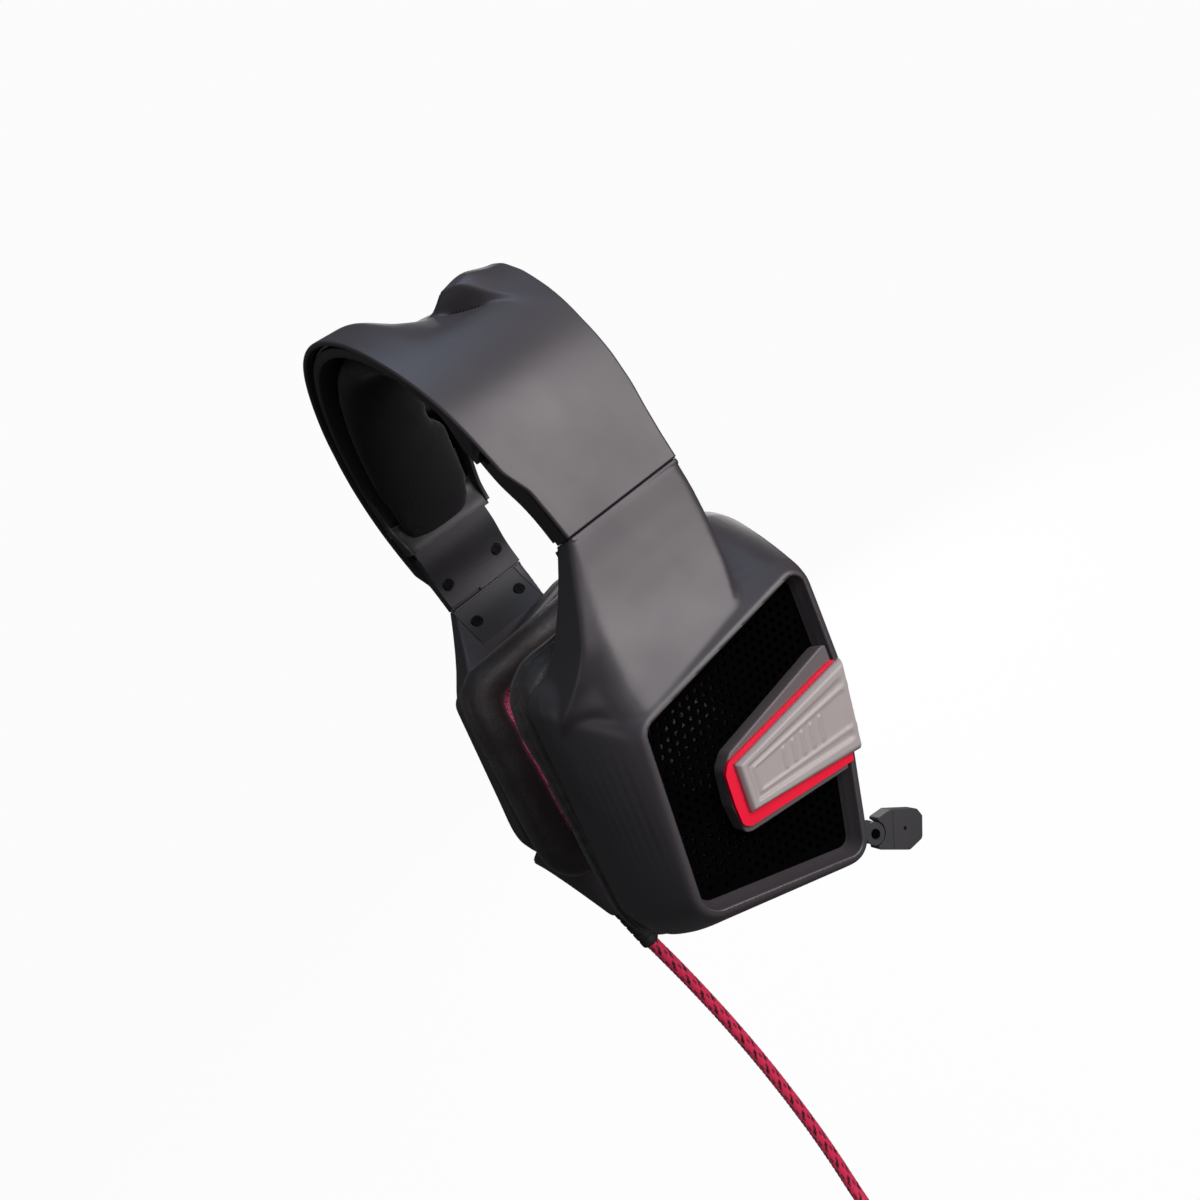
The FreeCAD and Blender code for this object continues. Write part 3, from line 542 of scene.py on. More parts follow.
MATERIALS = {
    "shell_plastic": moulded_plastic("satin_charcoal", (0.047, 0.042, 0.047), 0.42),
    "inner_plastic": moulded_plastic("inner_black", (0.026, 0.0255, 0.029), 0.5),
    "pad_fabric": knitted("pad_knit", (0.010, 0.009, 0.011), 0.55, 0.12),
    "cushion_leather": leatherette("cushion_leatherette", (0.030, 0.025, 0.025)),
    "speaker_cloth": open_mesh_cloth("crimson_mesh", (0.95, 0.09, 0.26), (0.35, 0.01, 0.06)),
    "grille_black": moulded_plastic("grille_black", (0.001, 0.001, 0.0011), 0.95, Specular_IOR_Level=0.02),
    "insert_dark": moulded_plastic("insert_dark", (0.105, 0.092, 0.096), 0.45),
    "insert_crimson": moulded_plastic("insert_crimson", (0.80, 0.004, 0.035), 0.32, grain=0.05),
    "insert_light": moulded_plastic("insert_light", (0.36, 0.325, 0.315), 0.42, grain=0.12),
    "strip_steel": metal("strip_steel", (0.30, 0.30, 0.31), 0.3),
    "spring_steel": metal("spring_steel", (0.45, 0.45, 0.47), 0.25),
    "screw_black": metal("screw_black", (0.006, 0.006, 0.007), 0.5, (1, 1, 1)),
    "driver_plastic": moulded_plastic("driver_plastic", (0.02, 0.02, 0.022), 0.5),
    "magnet_metal": metal("magnet_metal", (0.4, 0.4, 0.42), 0.28, (1, 1, 1)),
    "cone_film": moulded_plastic("cone_film", (0.42, 0.38, 0.28), 0.25, grain=0.03),
    "board_green": moulded_plastic("board_green", (0.01, 0.10, 0.04), 0.3),
    "mic_plastic": moulded_plastic("mic_charcoal", (0.050, 0.049, 0.054), 0.48),
    "mic_can": metal("mic_can", (0.6, 0.6, 0.62), 0.3, (1, 1, 1)),
    "relief_rubber": moulded_plastic("relief_rubber", (0.012, 0.012, 0.013), 0.6, 0.2, 0.3),
    "cable_braid": braid("cable_braid"),
    "tie_fabric": knitted("tie_weave", (0.02, 0.02, 0.021), 0.9),
    "plug_plastic": moulded_plastic("plug_black", (0.014, 0.014, 0.016), 0.4),
    "plug_gold": metal("plug_gold", (0.83, 0.60, 0.26), 0.16, (1, 1, 1)),
    # Near-black: painted shade in the shell's slit and across the gap at the collar, and the plug's real
    # black insulating rings.
    "painted_shade_and_insulator_black": moulded_plastic("painted_shade_and_insulator_black", (0.002, 0.002, 0.002), 0.9),
    # Lighter copy of the shell plastic: painted light on the housing's base-wall strip.
    "painted_lighter_strip": moulded_plastic("painted_lighter_strip", (0.050, 0.046, 0.050), 0.5),
}


def finish_cad_nodes():
    """Each carried-over CAD node takes its slot's material and softly broken edges."""
    for row in frame["record"]["subparts"]:
        node = frame["nodes"][row["node"]]
        node.data.materials.clear()
        node.data.materials.append(MATERIALS[row["material_slot"]])
        for face in node.data.polygons:
            face.material_index = 0
        modify(node, "WELD", merge_threshold=0.00001)
        limit = math.radians(35)
        modify(node, "BEVEL", width=0.22 * MM, segments=2, limit_method="ANGLE", angle_limit=limit)
        modify(node, "WEIGHTED_NORMAL", keep_sharp=True)


finish_cad_nodes()


# ---------------------------------------------------------------- cable

CABLE_R = 2.9
CABLE_ROUTE = [
    (60.0, 24.2, -92.0), (60.0, 22.9, -103.5), (60.0, 21.3, -120.0), (60.2, 19.6, -144.0),
    (60.8, 18.6, -172.0), (61.2, 18.9, -202.0), (61.4, 20.0, -224.0), (58.5, 22.4, -243.0),
    (48.0, 25.6, -257.0),
]
COIL_CENTRE = (42.0, 22.0, -300.0)
COIL_R = 32.0
COIL_STEP = 6.3
COIL_START = 106.0
COIL_TURNS = 8.86
POINTS_PER_TURN = 16
# A turn moves over from this share of it, earlier by this much in each later turn, within this share
CROSS_FROM, CROSS_EARLIER, CROSS_SPAN = 0.74, 0.085, 0.24
# The turns' places in the bundle as (outward, along the coil's axis), in steps, in winding order
COIL_PLACES = [(1, 1), (1, 0), (1, -1), (0, -1), (0, 0), (0, 1), (-1, 1), (-1, 0), (-1, -1)]
CABLE_TAIL = [
    (44.5, 14.0, -273.6), (32.0, 11.2, -272.0), (21.0, 9.6, -277.0), (14.4, 9.0, -284.5), (10.7, 8.1, -293.0),
    (10.0, 7.7, -303.0),
]
PLUG_BANDS = (-28.5, -31.5, -34.5)
STRANDS = 12
STRAND_PITCH = 2.3
CRIMSON_STRAND = (0.92, 0.03, 0.12, 1.0)
BLACK_STRAND = (0.012, 0.006, 0.009, 1.0)


def coil_points():
    """Turns wound outside first; a later turn moves over to its next place further back along it."""
    x, y, z = COIL_CENTRE
    places = np.array(COIL_PLACES, float) * COIL_STEP
    last = len(places) - 1
    found = []
    for k in range(int(COIL_TURNS * POINTS_PER_TURN) + 1):
        turn = k / POINTS_PER_TURN
        whole = min(int(turn), last)
        share = np.clip((turn - whole - CROSS_FROM + CROSS_EARLIER * whole) / CROSS_SPAN, 0, 1)
        outward_by, along = places[whole] + (places[min(whole + 1, last)] - places[whole]) * share
        angle = math.radians(COIL_START) + turn * 2 * math.pi
        radius = COIL_R + outward_by
        found.append((x + radius * math.cos(angle), y + along, z + radius * math.sin(angle)))
    return found


def nurbs_path(points):
    """Points read along a smooth spline that has these as its control points."""
    curve = bpy.data.curves.new("route", "CURVE")
    curve.dimensions = "3D"
    curve.resolution_u = 20
    spline = curve.splines.new("NURBS")
    spline.points.add(len(points) - 1)
    for point, place in zip(spline.points, points):
        point.co = (*(c * MM for c in place), 1)
    spline.order_u = 3
    spline.use_endpoint_u = True
    line = bpy.data.objects.new("route", curve)
    scene.collection.objects.link(line)
    mesh = bpy.data.meshes.new_from_object(line)
    path = np.array([v.co for v in mesh.vertices]) / MM
    bpy.data.objects.remove(line)
    return path


def evenly(path, step):
    lengths = np.concatenate([[0], np.cumsum(np.linalg.norm(np.diff(path, axis=0), axis=1))])
    at = np.linspace(0, lengths[-1], int(lengths[-1] / step) + 1)
    return np.column_stack([np.interp(at, lengths, path[:, i]) for i in range(3)]), at


def tube_frames(line):
    """Two directions across the line at each point that don't twist along it."""
    ways = np.gradient(line, axis=0)
    ways /= np.linalg.norm(ways, axis=1)[:, None]
    across = np.zeros_like(ways)
    first = np.cross(ways[0], (0.0, 1.0, 0.0))
    across[0] = first / np.linalg.norm(first)
    for i in range(1, len(line)):
        v = across[i - 1] - ways[i] * (across[i - 1] @ ways[i])
        across[i] = v / np.linalg.norm(v)
    return across, np.cross(ways, across)


def make_cable():
    """Braided tube: strands wound both ways, each passing over and under the others."""
    path = nurbs_path(CABLE_ROUTE + coil_points() + CABLE_TAIL)
    line, along = evenly(path, 0.8)
    first, second = tube_frames(line)
    segments = 24
    angles = np.linspace(0, 2 * math.pi, segments, endpoint=False)
    turn = angles[None, :] / (2 * math.pi) * STRANDS
    climb = along[:, None] / STRAND_PITCH
    one, other = turn + climb, turn - climb
    on_top = (np.floor(one) + np.floor(other)) % 2 < 1
    crown = np.sin(np.where(on_top, one % 1, other % 1) * math.pi)
    radius = CABLE_R - 0.42 + 0.38 * crown
    c, s = np.cos(angles)[None, :, None], np.sin(angles)[None, :, None]
    ring = first[:, None, :] * c + second[:, None, :] * s
    points = (line[:, None, :] + ring * radius[:, :, None]).reshape(-1, 3)
    rows = len(line)
    faces = ring_faces(rows, segments)
    faces.append(tuple(range(segments)))
    faces.append(tuple(range((rows - 1) * segments, rows * segments)))
    cable = mesh_piece("braided_cable", points, faces)
    black = np.where(on_top, np.floor(one) % 4 < 1, np.floor(other) % 4 < 1)
    colors = np.where(black[..., None], BLACK_STRAND, CRIMSON_STRAND)
    paint = cable.data.color_attributes.new("strand", "FLOAT_COLOR", "POINT")
    paint.data.foreach_set("color", colors.reshape(-1).astype(np.float32))
    dress(cable, "left_cup", "cable_braid", "cable", "cable_coil", "cable_tail")
    return cable, path


def turned(name, profile, at, segments=40):
    """A body of revolution about a vertical axis, from (radius, height) pairs in millimetres."""
    c, s = circle(segments)
    x, y, level = at
    rings = [np.column_stack([x + r * c, y + r * s, np.full(segments, level + z)]) for r, z in profile]
    return loft(name, rings)


def make_plug():
    """Moulded plug with a grip of rings, and a pin with its contact bands."""
    top = CABLE_TAIL[-1]
    profile = [(3.1, 3.0), (3.3, 1.0), (3.6, 0.0), (4.1, -0.6), (4.4, -1.6)]
    for i in range(6):
        z = -3.0 - 2.2 * i
        profile += [(4.4, z), (3.9, z - 0.35), (3.9, z - 0.85), (4.4, z - 1.2)]
    profile += [(4.4, -18.5), (4.45, -22.6), (4.1, -23.7), (3.3, -24.0)]
    grip = turned("plug_grip", profile, top)
    dress(grip, "left_cup", "plug_plastic", "plug_body")
    pin = [(1.75, -24.0), (1.75, -28.4)]
    for z in PLUG_BANDS:
        pin += [(1.68, z), (1.68, z - 0.6), (1.75, z - 0.7), (1.75, z - 2.8)]
    pin += [(1.72, -36.3), (1.2, -36.9), (1.55, -37.5), (0.8, -38.0), (0.2, -38.05)]
    shaft = turned("plug_contact", pin, top, 32)
    dress(shaft, "left_cup", "plug_gold", "plug_pin")
    shaft.data.materials.append(MATERIALS["painted_shade_and_insulator_black"])
    centres = np.array([f.center.z for f in shaft.data.polygons]) / MM - top[2]
    for face, z in zip(shaft.data.polygons, centres):
        face.material_index = int(any(band - 0.66 < z < band + 0.06 for band in PLUG_BANDS))
    return grip, shaft


def make_tie():
    """Hook-and-loop strap round the bundle at the coil's top, with its free end lapped over."""
    x, y, z = COIL_CENTRE
    half, width, thick, r = 9.35, 10.0, 0.9, 3.6
    turn = rounded([(-half, -half, r), (half, -half, r), (half, half, r), (-half, half, r)], 0, 7)
    path = np.concatenate([turn, turn[:12]])
    lap = np.concatenate([np.zeros(len(turn)), np.full(12, thick + 0.1)])
    lap[len(turn) - 3:len(turn) + 1] = np.linspace(0.2, 0.9, 4)
    rings = []
    for (cy, cz), up in zip(path, lap):
        way = np.array([0, cy, cz]) / math.hypot(cy, cz)
        at = np.array([x, y + cy, z + COIL_R + cz]) + way * up
        across, out = np.array([width / 2, 0, 0]), way * thick
        rings.append(np.array([at - across, at + across, at + across + out, at - across + out]))
    strap = loft("cable_strap", rings)
    bevel(strap, 0.2)
    return dress(strap, "left_cup", "tie_fabric", "cable_tie")


cable, cable_path = make_cable()
plug_grip, plug_shaft = make_plug()
strap = make_tie()


# ---------------------------------------------------------------- headband

# The outer line of the band's rear edge, half of it, as (x, z)
BAND_LINE = [
    (0, 158.1), (25.3, 153.6), (48.7, 142.0), (67.4, 125.4), (79.4, 106.2), (83.2, 86.0), (85.6, 66.0),
]
PART_LINE_Z = 66.4
SHELL_T = 1.6
FRAME_OUT, FRAME_IN = 3.0, 6.0
# By distance from the crown: rear edge y, front edge y, how deep the saddle is
BAND_EDGES = [
    (0, 6.0, -36.0, 9.8), (28, 6.0, -36.2, 9.8), (42, 6.0, -36.8, 9.6), (50, 5.9, -38.0, 9.2),
    (54, 5.8, -39.0, 7.4), (57, 5.8, -39.8, 3.4), (60, 5.8, -40.6, -0.8), (65, 5.7, -41.6, -1.6),
    (72, 5.6, -42.5, -1.0),
    (84, 5.2, -42.0, -0.2), (98, 4.6, -40.4, 0.0), (110, 4.1, -39.8, 0.0), (119, 3.7, -38.8, 0.0),
    (126, 1.3, -37.4, 0.0), (133, 1.2, -36.2, 0.0), (140, 1.2, -35.2, 0.0),
]
# Share of the saddle's depth by y, from the rear of the band to its front edge
SADDLE_SHARE = [(-60, 1.0), (-36, 1.0), (-24, 0.92), (-16, 0.68), (-12, 0.41), (-5, 0.0), (20, 0.0)]


def measured_band():
    """The band's outer line over both sides: distances from the crown, points and inward directions."""
    half = np.array(BAND_LINE, float)
    points = np.concatenate([half[:0:-1] * (-1, 1), half])
    knots = np.concatenate([[0], np.cumsum(np.linalg.norm(np.diff(points, axis=0), axis=1))])
    line = natural_spline(knots, points, np.linspace(0, knots[-1], 4001))
    along = np.concatenate([[0], np.cumsum(np.linalg.norm(np.diff(line, axis=0), axis=1))])
    ways = np.gradient(line, along, axis=0)
    return along - along[-1] / 2, line, np.column_stack([ways[:, 1], -ways[:, 0]])


BAND = measured_band()


def band_at(distance):
    distances, line, inward = BAND
    point = np.array([np.interp(distance, distances, line[:, i]) for i in range(2)])
    way = np.array([np.interp(distance, distances, inward[:, i]) for i in range(2)])
    return point, way / np.linalg.norm(way)


def band_ring(distance, profile):
    """Ring across the band from (y, depth inside the outer line) pairs."""
    (x, z), (way_x, way_z) = band_at(distance)
    y, depth = np.asarray(profile, float).T
    return np.column_stack([x + way_x * depth, y, z + way_z * depth])


def shell_end():
    """Distance from the crown to the parting line."""
    distances, line, _ = BAND
    half = distances > 0
    return float(np.interp(-PART_LINE_Z, -line[half, 1], distances[half]))


SHELL_END = shell_end()
# Points across the shell, and how much they crowd towards its edges
SHELL_ROWS = 150
SHELL_CROWD = 0.4


def band_edges(distance, blur=1.6):
    """Rear edge y, front edge y and the front edge's depth."""
    return eased(BAND_EDGES, np.atleast_1d(abs(distance)), blur)[0]


def saddle_depth(y, distance):
    drop = band_edges(distance)[2]
    return drop * eased(SADDLE_SHARE, y, 1.8)[:, 0]


def plate_profile(y, depth, thick, round_by):
    """Closed profile of a plate along y whose outer face is at depth, with rounded edges."""
    edge = np.minimum(y.max() - y, y - y.min())
    near = np.clip(1 - edge / round_by, 0, 1)
    trim = (thick / 2) * (1 - np.sqrt(1 - near ** 2))
    outer = np.column_stack([y, depth + trim])
    inner = np.column_stack([y, depth + thick - trim])
    return np.concatenate([outer, inner[-2:0:-1]])


def along_edge(rear, front, count=44, crowd=0.7):
    """Values of y from rear to front, closer together at both edges."""
    share = np.linspace(0, 1, count)
    return rear + (front - rear) * (share - crowd * np.sin(2 * math.pi * share) / (2 * math.pi))


def both_ways(stations):
    stations = sorted({round(float(s), 3) for s in stations if s >= 0})
    return [-s for s in reversed(stations) if s > 0] + stations


# Depth of the saddle behind the flare's hood, by distance from the crown
MAIN_DROP = [
    (0, 9.8), (44, 9.6), (48, 9.4), (52, 8.2), (56, 6.3), (60, 4.9), (64, 4.2), (68, 3.2), (72, 1.8),
    (76, 0.5), (80, 0.0), (141, 0.0),
]
# The hood's rear edge is a slanting line, from HOOD_LINE's y at its distance, and sinks by its slope
HOOD_LINE = (-22.8, 62.0, 0.557)
HOOD_BULGE = 2.1
SLIT_DEPTH = 0.9


def surface_depth(y, distance):
    """How deep the shell's outer face is, and where the slit is, whose faces are painted black as the shade
    in it: the flare is a raised hood in front of a slanting line, with a steep wall down to the main surface
    behind it."""
    d = abs(distance)
    share = eased(SADDLE_SHARE, y, 1.8)[:, 0]
    main = share * eased(MAIN_DROP, np.array([d]), 1.6)[0, 0]
    bulge = smooth_step(d, 54, 60) * (1 - smooth_step(d, 64, 76)) * np.exp(-((y + 30) / 6.5) ** 2)
    hood = share * band_edges(distance, 0.9)[2] - HOOD_BULGE * bulge
    line = HOOD_LINE[0] - HOOD_LINE[2] * (d - HOOD_LINE[1])
    front_side = smooth_step(line - y, -1.5, 1.5)
    window = smooth_step(d, 60.5, 64) * (1 - smooth_step(d, 70, 75))
    slit = window * np.exp(-((y - line - 1.7) / 0.62) ** 2)
    return main + (hood - main) * front_side + SLIT_DEPTH * slit, slit


def smooth_step(value, low, high):
    t = np.clip((value - low) / (high - low), 0, 1)
    return t * t * (3 - 2 * t)


def shell_ring(distance):
    rear, front, _ = band_edges(distance, 0.9)
    y = along_edge(rear, front, SHELL_ROWS, SHELL_CROWD)
    depth, slit = surface_depth(y, distance)
    return band_ring(distance, plate_profile(y, depth, SHELL_T - 0.8 * slit, SHELL_T / 2))


def make_shell():
    spans = [(0, 44, 3.0), (44, 62, 0.8), (62, 78, 0.32), (78, 80, 0.8), (80, 116, 3.0)]
    spans.append((116, SHELL_END - 0.4, 0.9))
    pieces = [np.arange(*span) for span in spans] + [[SHELL_END - 0.3, SHELL_END]]
    stations = both_ways(np.concatenate(pieces))
    shell = loft("band_shell", [shell_ring(s) for s in stations])
    dress(shell, "headband", "shell_plastic", "headband_shell")
    shell.data.materials.append(MATERIALS["painted_shade_and_insulator_black"])
    columns = len(shell.data.vertices) // len(stations)
    painted_shade_slit = np.zeros((len(stations), columns))
    for i, s in enumerate(stations):
        y = along_edge(*band_edges(s, 0.9)[:2], SHELL_ROWS, SHELL_CROWD)
        painted_shade_slit[i, :SHELL_ROWS] = surface_depth(y, s)[1]
    painted_shade_slit = painted_shade_slit.reshape(-1)
    # Painted shade: faces in the slit take the near-black material.
    for face in shell.data.polygons:
        if len(face.vertices) == 4 and painted_shade_slit[list(face.vertices)].mean() > 0.42:
            face.material_index = 1


# The frame's front edge over the crown, where the saddle leaves it little room
FRAME_NARROW_Y = -7.0


def frame_ring(distance):
    rear, edge, _ = band_edges(distance)
    wide = np.clip((abs(distance) - 71) / 7, 0, 1)
    front = FRAME_NARROW_Y + (edge + 2.0 - FRAME_NARROW_Y) * wide
    y = along_edge(rear - 1.6, front, 16)
    return band_ring(distance, plate_profile(y, np.full(len(y), FRAME_OUT), FRAME_IN - FRAME_OUT, 0.5))


# Rails as from and to along the band, edge (0 rear, 1 front), offset from it, width, depth, way of the width
RAIL_DEPTH = 13.9
RAILS = [(59, 110, 1, 0.35, 1.8, RAIL_DEPTH, 1), (72, 110, 0, -1.7, 1.6, 7.4, -1)]


def rail(side, low, high, edge, set_in, width, deep, turn):
    """Wall standing inward from the frame along one edge, from distance low to high."""
    rings = []
    for s in np.arange(low, high + 0.1, 2.0):
        y = band_edges(s)[edge] + set_in
        top = max(FRAME_OUT + 0.2 - 3.0 * edge, band_edges(s)[2] + SHELL_T + 0.1)
        rise = min(1.0, (s - low) / 14)
        end = smooth_step(s, 92, 106)
        reach = deep + (RAIL_DEPTH - deep) * end
        depth = FRAME_OUT + 1.0 + (reach - FRAME_OUT - 1.0) * math.sin(rise * math.pi / 2)
        far = y + width * turn
        profile = [(y, top), (y, depth - 0.4), (y + 0.4 * turn, depth), (far - 0.4 * turn, depth)]
        rings.append(band_ring(side * s, profile + [(far, depth - 0.4), (far, top)]))
    return loft("rail", rings)


GASKET_SET_IN, GASKET_WIDTH, GASKET_DEPTHS = 4.2, 1.2, (1.75, 3.4)
TRAY_DEPTHS, TRAY_T = (6.9, 12.6), 1.2


def gasket():
    """Thin rib that closes the gap between shell and frame, set back from the rear edge."""
    rings = []
    for s in both_ways(np.arange(0, 97.1, 2.0)):
        y = band_edges(s)[0] - GASKET_SET_IN
        far, (outer, inner) = y - GASKET_WIDTH, GASKET_DEPTHS
        rings.append(band_ring(s, [(y, outer), (y, inner), (far, inner), (far, outer)]))
    return loft("gasket", rings)


def tray_floor(side):
    """Floor that slopes up from the frame, under the pad's end, to the end cover."""
    rings = []
    for s in np.arange(94, 111.0, 1.4):
        depth = TRAY_DEPTHS[0] + (TRAY_DEPTHS[1] - TRAY_DEPTHS[0]) * smooth_step(s, 96, 109.5)
        rear, front, _ = band_edges(s)
        y = along_edge(rear - 2.9, front + 1.6, 12)
        rings.append(band_ring(side * s, plate_profile(y, np.full(len(y), depth), TRAY_T, 0.4)))
    return loft("floor", rings)


def make_frame():
    frame_piece = loft("band_frame", [frame_ring(s) for s in both_ways(np.arange(0, 97.1, 2.0))])
    join(frame_piece, gasket())
    for side in SIDES.values():
        join(frame_piece, *[rail(side, *row) for row in RAILS], tray_floor(side))
    bevel(frame_piece, 0.2, 2, 50)
    return dress(frame_piece, "headband", "inner_plastic", "headband_frame")


def bulged(value, power):
    """Cosine or sine of a circle made into that of a fuller shape with rounded corners."""
    return np.sign(value) * np.abs(value) ** (2 / power)


PAD_END, PAD_TAPER, PAD_THICK = 108.8, 9, 8.4


def pad_ring(distance, shrink=0.0):
    """Section of the head pad: full in the middle, drawn in at its edges and ends."""
    (c, s), d = (bulged(value, 3.2) for value in circle(44)), abs(distance)
    end = np.clip((d - (PAD_END - PAD_TAPER)) / PAD_TAPER, 0, 1)
    round_off = math.sqrt(max(0.0, 1 - end ** 2.6))
    rear = 1.4 - 1.8 * np.clip((d - 60) / 40, 0, 1)
    front = -33.0 - 5.2 * smooth_step(d, 50, 64) + 4.4 * smooth_step(d, 88, 106)
    middle, half = (rear + front) / 2, (rear - front) / 2 - shrink - 7.5 * (1 - round_off)
    y = middle + c * half
    rise = np.clip((d - 97) / 10, 0, 1)
    top = FRAME_IN + 0.7 + 0.8 * rise * rise
    thick = PAD_THICK - 0.5 * np.clip((d - 84) / 20, 0, 1)
    sunk = np.maximum(top, saddle_depth(y, distance) + SHELL_T + 0.9)
    inner = top + thick + 0.5 * (1 - c ** 2)
    centre, reach = (sunk + inner) / 2, (inner - sunk) / 2
    squeeze = 0.25 + 0.75 * round_off
    return band_ring(distance, np.column_stack([y, centre - (1 - squeeze) * 1.0 + s * reach * squeeze]))


def puff(piece, voxel, pressure, cap, held):
    """Blow the piece up with cloth pressure, holding the points that held() picks, no further than cap."""
    modify(piece, "REMESH", mode="VOXEL", voxel_size=voxel * MM, use_smooth_shade=True)
    bake(piece)
    start = np.array([v.co for v in piece.data.vertices])
    group = piece.vertex_groups.new(name="held")
    group.add([i for i, co in enumerate(start) if held(co / MM)], 1.0, "REPLACE")
    cloth = piece.modifiers.new("cloth", "CLOTH")
    settings = cloth.settings
    settings.vertex_group_mass = "held"
    settings.use_pressure = True
    settings.uniform_pressure_force = pressure
    settings.effector_weights.gravity = 0.0
    settings.tension_stiffness = settings.compression_stiffness = 20.0
    settings.bending_stiffness = 1.0
    for step in range(1, 21):
        scene.frame_set(step)
    graph = bpy.context.evaluated_depsgraph_get()
    found = np.array([v.co for v in piece.evaluated_get(graph).data.vertices])
    piece.modifiers.clear()
    moved = found - start
    far = np.linalg.norm(moved, axis=1)
    limit = cap * MM * np.tanh(far / (cap * MM))
    moved *= (limit / np.maximum(far, 1e-9))[:, None]
    piece.data.vertices.foreach_set("co", (start + moved).reshape(-1))
    piece.vertex_groups.clear()
    scene.frame_set(1)
    modify(piece, "SMOOTH", factor=0.5, iterations=3)
    subdivide(piece)
    bake(piece)
    piece.data.shade_smooth()
    return piece


def push(piece, amount):
    """Move each vertex along its normal by amount(x, y, z), in millimetres."""
    mesh = piece.data
    places = np.array([v.co for v in mesh.vertices]) / MM
    normals = np.array([v.normal for v in mesh.vertices])
    by = amount(places[:, 0], places[:, 1], places[:, 2])
    mesh.vertices.foreach_set("co", ((places + normals * by[:, None]) * MM).reshape(-1))
    mesh.update()


def make_pad():
    spans = [np.arange(0, 92, 4.0), np.arange(92, PAD_END - 0.2, 1.1), [PAD_END - 0.15]]
    distances = both_ways(np.concatenate(spans))
    pad = loft("head_pad", [pad_ring(s, 0.5) for s in distances])
    puff(pad, 3.0, 3.0, 1.6, lambda co: False)
    dress(pad, "headband", "pad_fabric", "headband_pad")


make_shell()
make_frame()
make_pad()


# The end cover's inner face and its walls' outer edge as (x, z)
END_INNER = [(74.9, 66.2), (72.8, 79.5), (69.6, 86.0), (68.0, 93.0)]
END_OUTER = [(83.6, 66.2), (82.6, 74.0), (81.6, 82.0), (80.1, 91.5)]
END_Y, END_Z = (-35.4, 1.1), (66.2, 94.2)
END_T, END_WALL = 2.5, 1.8
END_STEP = [(60, 65), (76.5, 65), (76.5, 67.3), (60, 67.3)]
END_SCREWS = [(-3.6, 76.0), (-29.6, 76.0)]
# Screw bores start at one x; the through hole is (x it ends at, radius)
SCREWS_FROM_X = 60
SCREW_HOLE, SCREW_SEAT_R = (90, 1.3), 2.6


def bore_screws(piece, places, side, *bores):
    """Holes along X at each place, from inside the band out to each (x, radius)."""
    for y, z in places:
        cut(piece, *[rod("bore", SCREWS_FROM_X, x, y, z, r, side) for x, r in bores])


def make_end_cover(side, prefix):
    """Cover over the band's end: one gently curved plate with a wall at each edge and two screw seats."""
    inner = np.array(END_INNER)
    heights = np.linspace(*END_Z, 18)
    curve = natural_spline(inner[:, 1], inner[:, :1], heights)[:, 0]
    face = list(zip(curve, heights))
    cover = block(prefix + "_band_end_cover", face + [(x + END_T, z) for x, z in face[::-1]], *END_Y, side)
    walls = [(END_Y[0], END_Y[0] + END_WALL), (END_Y[1] - END_WALL, END_Y[1])]
    join(cover, *[block("wall", face[:-1] + END_OUTER[::-1], low, high, side) for low, high in walls])
    bore_screws(cover, END_SCREWS, side, SCREW_HOLE, (74.6, SCREW_SEAT_R))
    cut(cover, block("step", END_STEP, -14.0, 3.0, side))
    bevel(cover, 0.25, 2, 30)
    dress(cover, "headband", "inner_plastic", prefix + "_end_cover")


for prefix, side in SIDES.items():
    make_end_cover(side, prefix)


# ---------------------------------------------------------------- arms and cup housings

# Arm by height: z, outer x, middle x, inner x, rear y, rear y outside, front y
ARM_SECTIONS = [
    (66, 85.6, 84.6, 74.9, 1.2, 0.6, -35.2), (58, 86.0, 84.8, 71.2, 6.0, 3.2, -34.2),
    (51, 86.7, 85.4, 66.2, 10.3, 5.6, -32.6), (44, 87.9, 85.8, 60.0, 15.0, 9.0, -30.2),
    (38, 89.5, 82.0, 54.0, 20.5, 13.0, -27.8), (32, 91.6, 73.5, 50.0, 26.3, 17.0, -24.0),
    (25, 94.4, 66.0, 50.0, 28.6, 18.6, -19.0), (16, 94.4, 65.0, 50.0, 30.0, 18.0, -16.0),
]
# Cup outlines as (y, z, corner radius)
BASE = [
    (26.5, 38.0, 7.0), (42.0, -30.0, 12.0), (-14.0, -50.0, 14.0), (-45.0, -2.0, 30.0), (-54.5, 53.6, 13.0),
]
RIM = [(18.8, 24.8, 6.0), (34.6, -19.2, 7.0), (-9.0, -39.0, 6.0), (-33.4, 1.0, 20.0), (-42.0, 29.2, 5.0)]
BASE_X, SHOULDER_X, RIM_X = 50.0, 64.0, 95.0
WALL, LIP = 2.8, 3.0
GRILLE_X, GRILLE_T = 88.6, 1.0
ARM_COVER_Z = (48.0, 65.2)
ARM_COVER_T = 1.4
ARM_SCREWS = [(-26.0, 57.0), (-3.0, 57.0)]
STRIP_TOP = (76.2, 100.0)
STRIP_LEAN = 0.119


def between(first, second, share):
    first, second = np.array(first, float), np.array(second, float)
    return (first + (second - first) * share).tolist()


def housing(side):
    sections = [(BASE_X, BASE, -0.8), (BASE_X + 0.8, BASE, 0.0), (SHOULDER_X - 1.5, BASE, 0.0)]
    rings = [at_x(rounded(corners, grow), x, side) for x, corners, grow in sections]
    for k in range(1, 9):
        share = k / 9
        bulge = 0.7 * math.sin(math.pi * share)
        corners = between(BASE, RIM, share)
        rings.append(at_x(rounded(corners, bulge), SHOULDER_X + (RIM_X - SHOULDER_X) * share, side))
    rings.append(at_x(rounded(RIM, 0.0), RIM_X - 0.9, side))
    rings.append(at_x(rounded(RIM, -0.9), RIM_X, side))
    return loft("housing", rings)


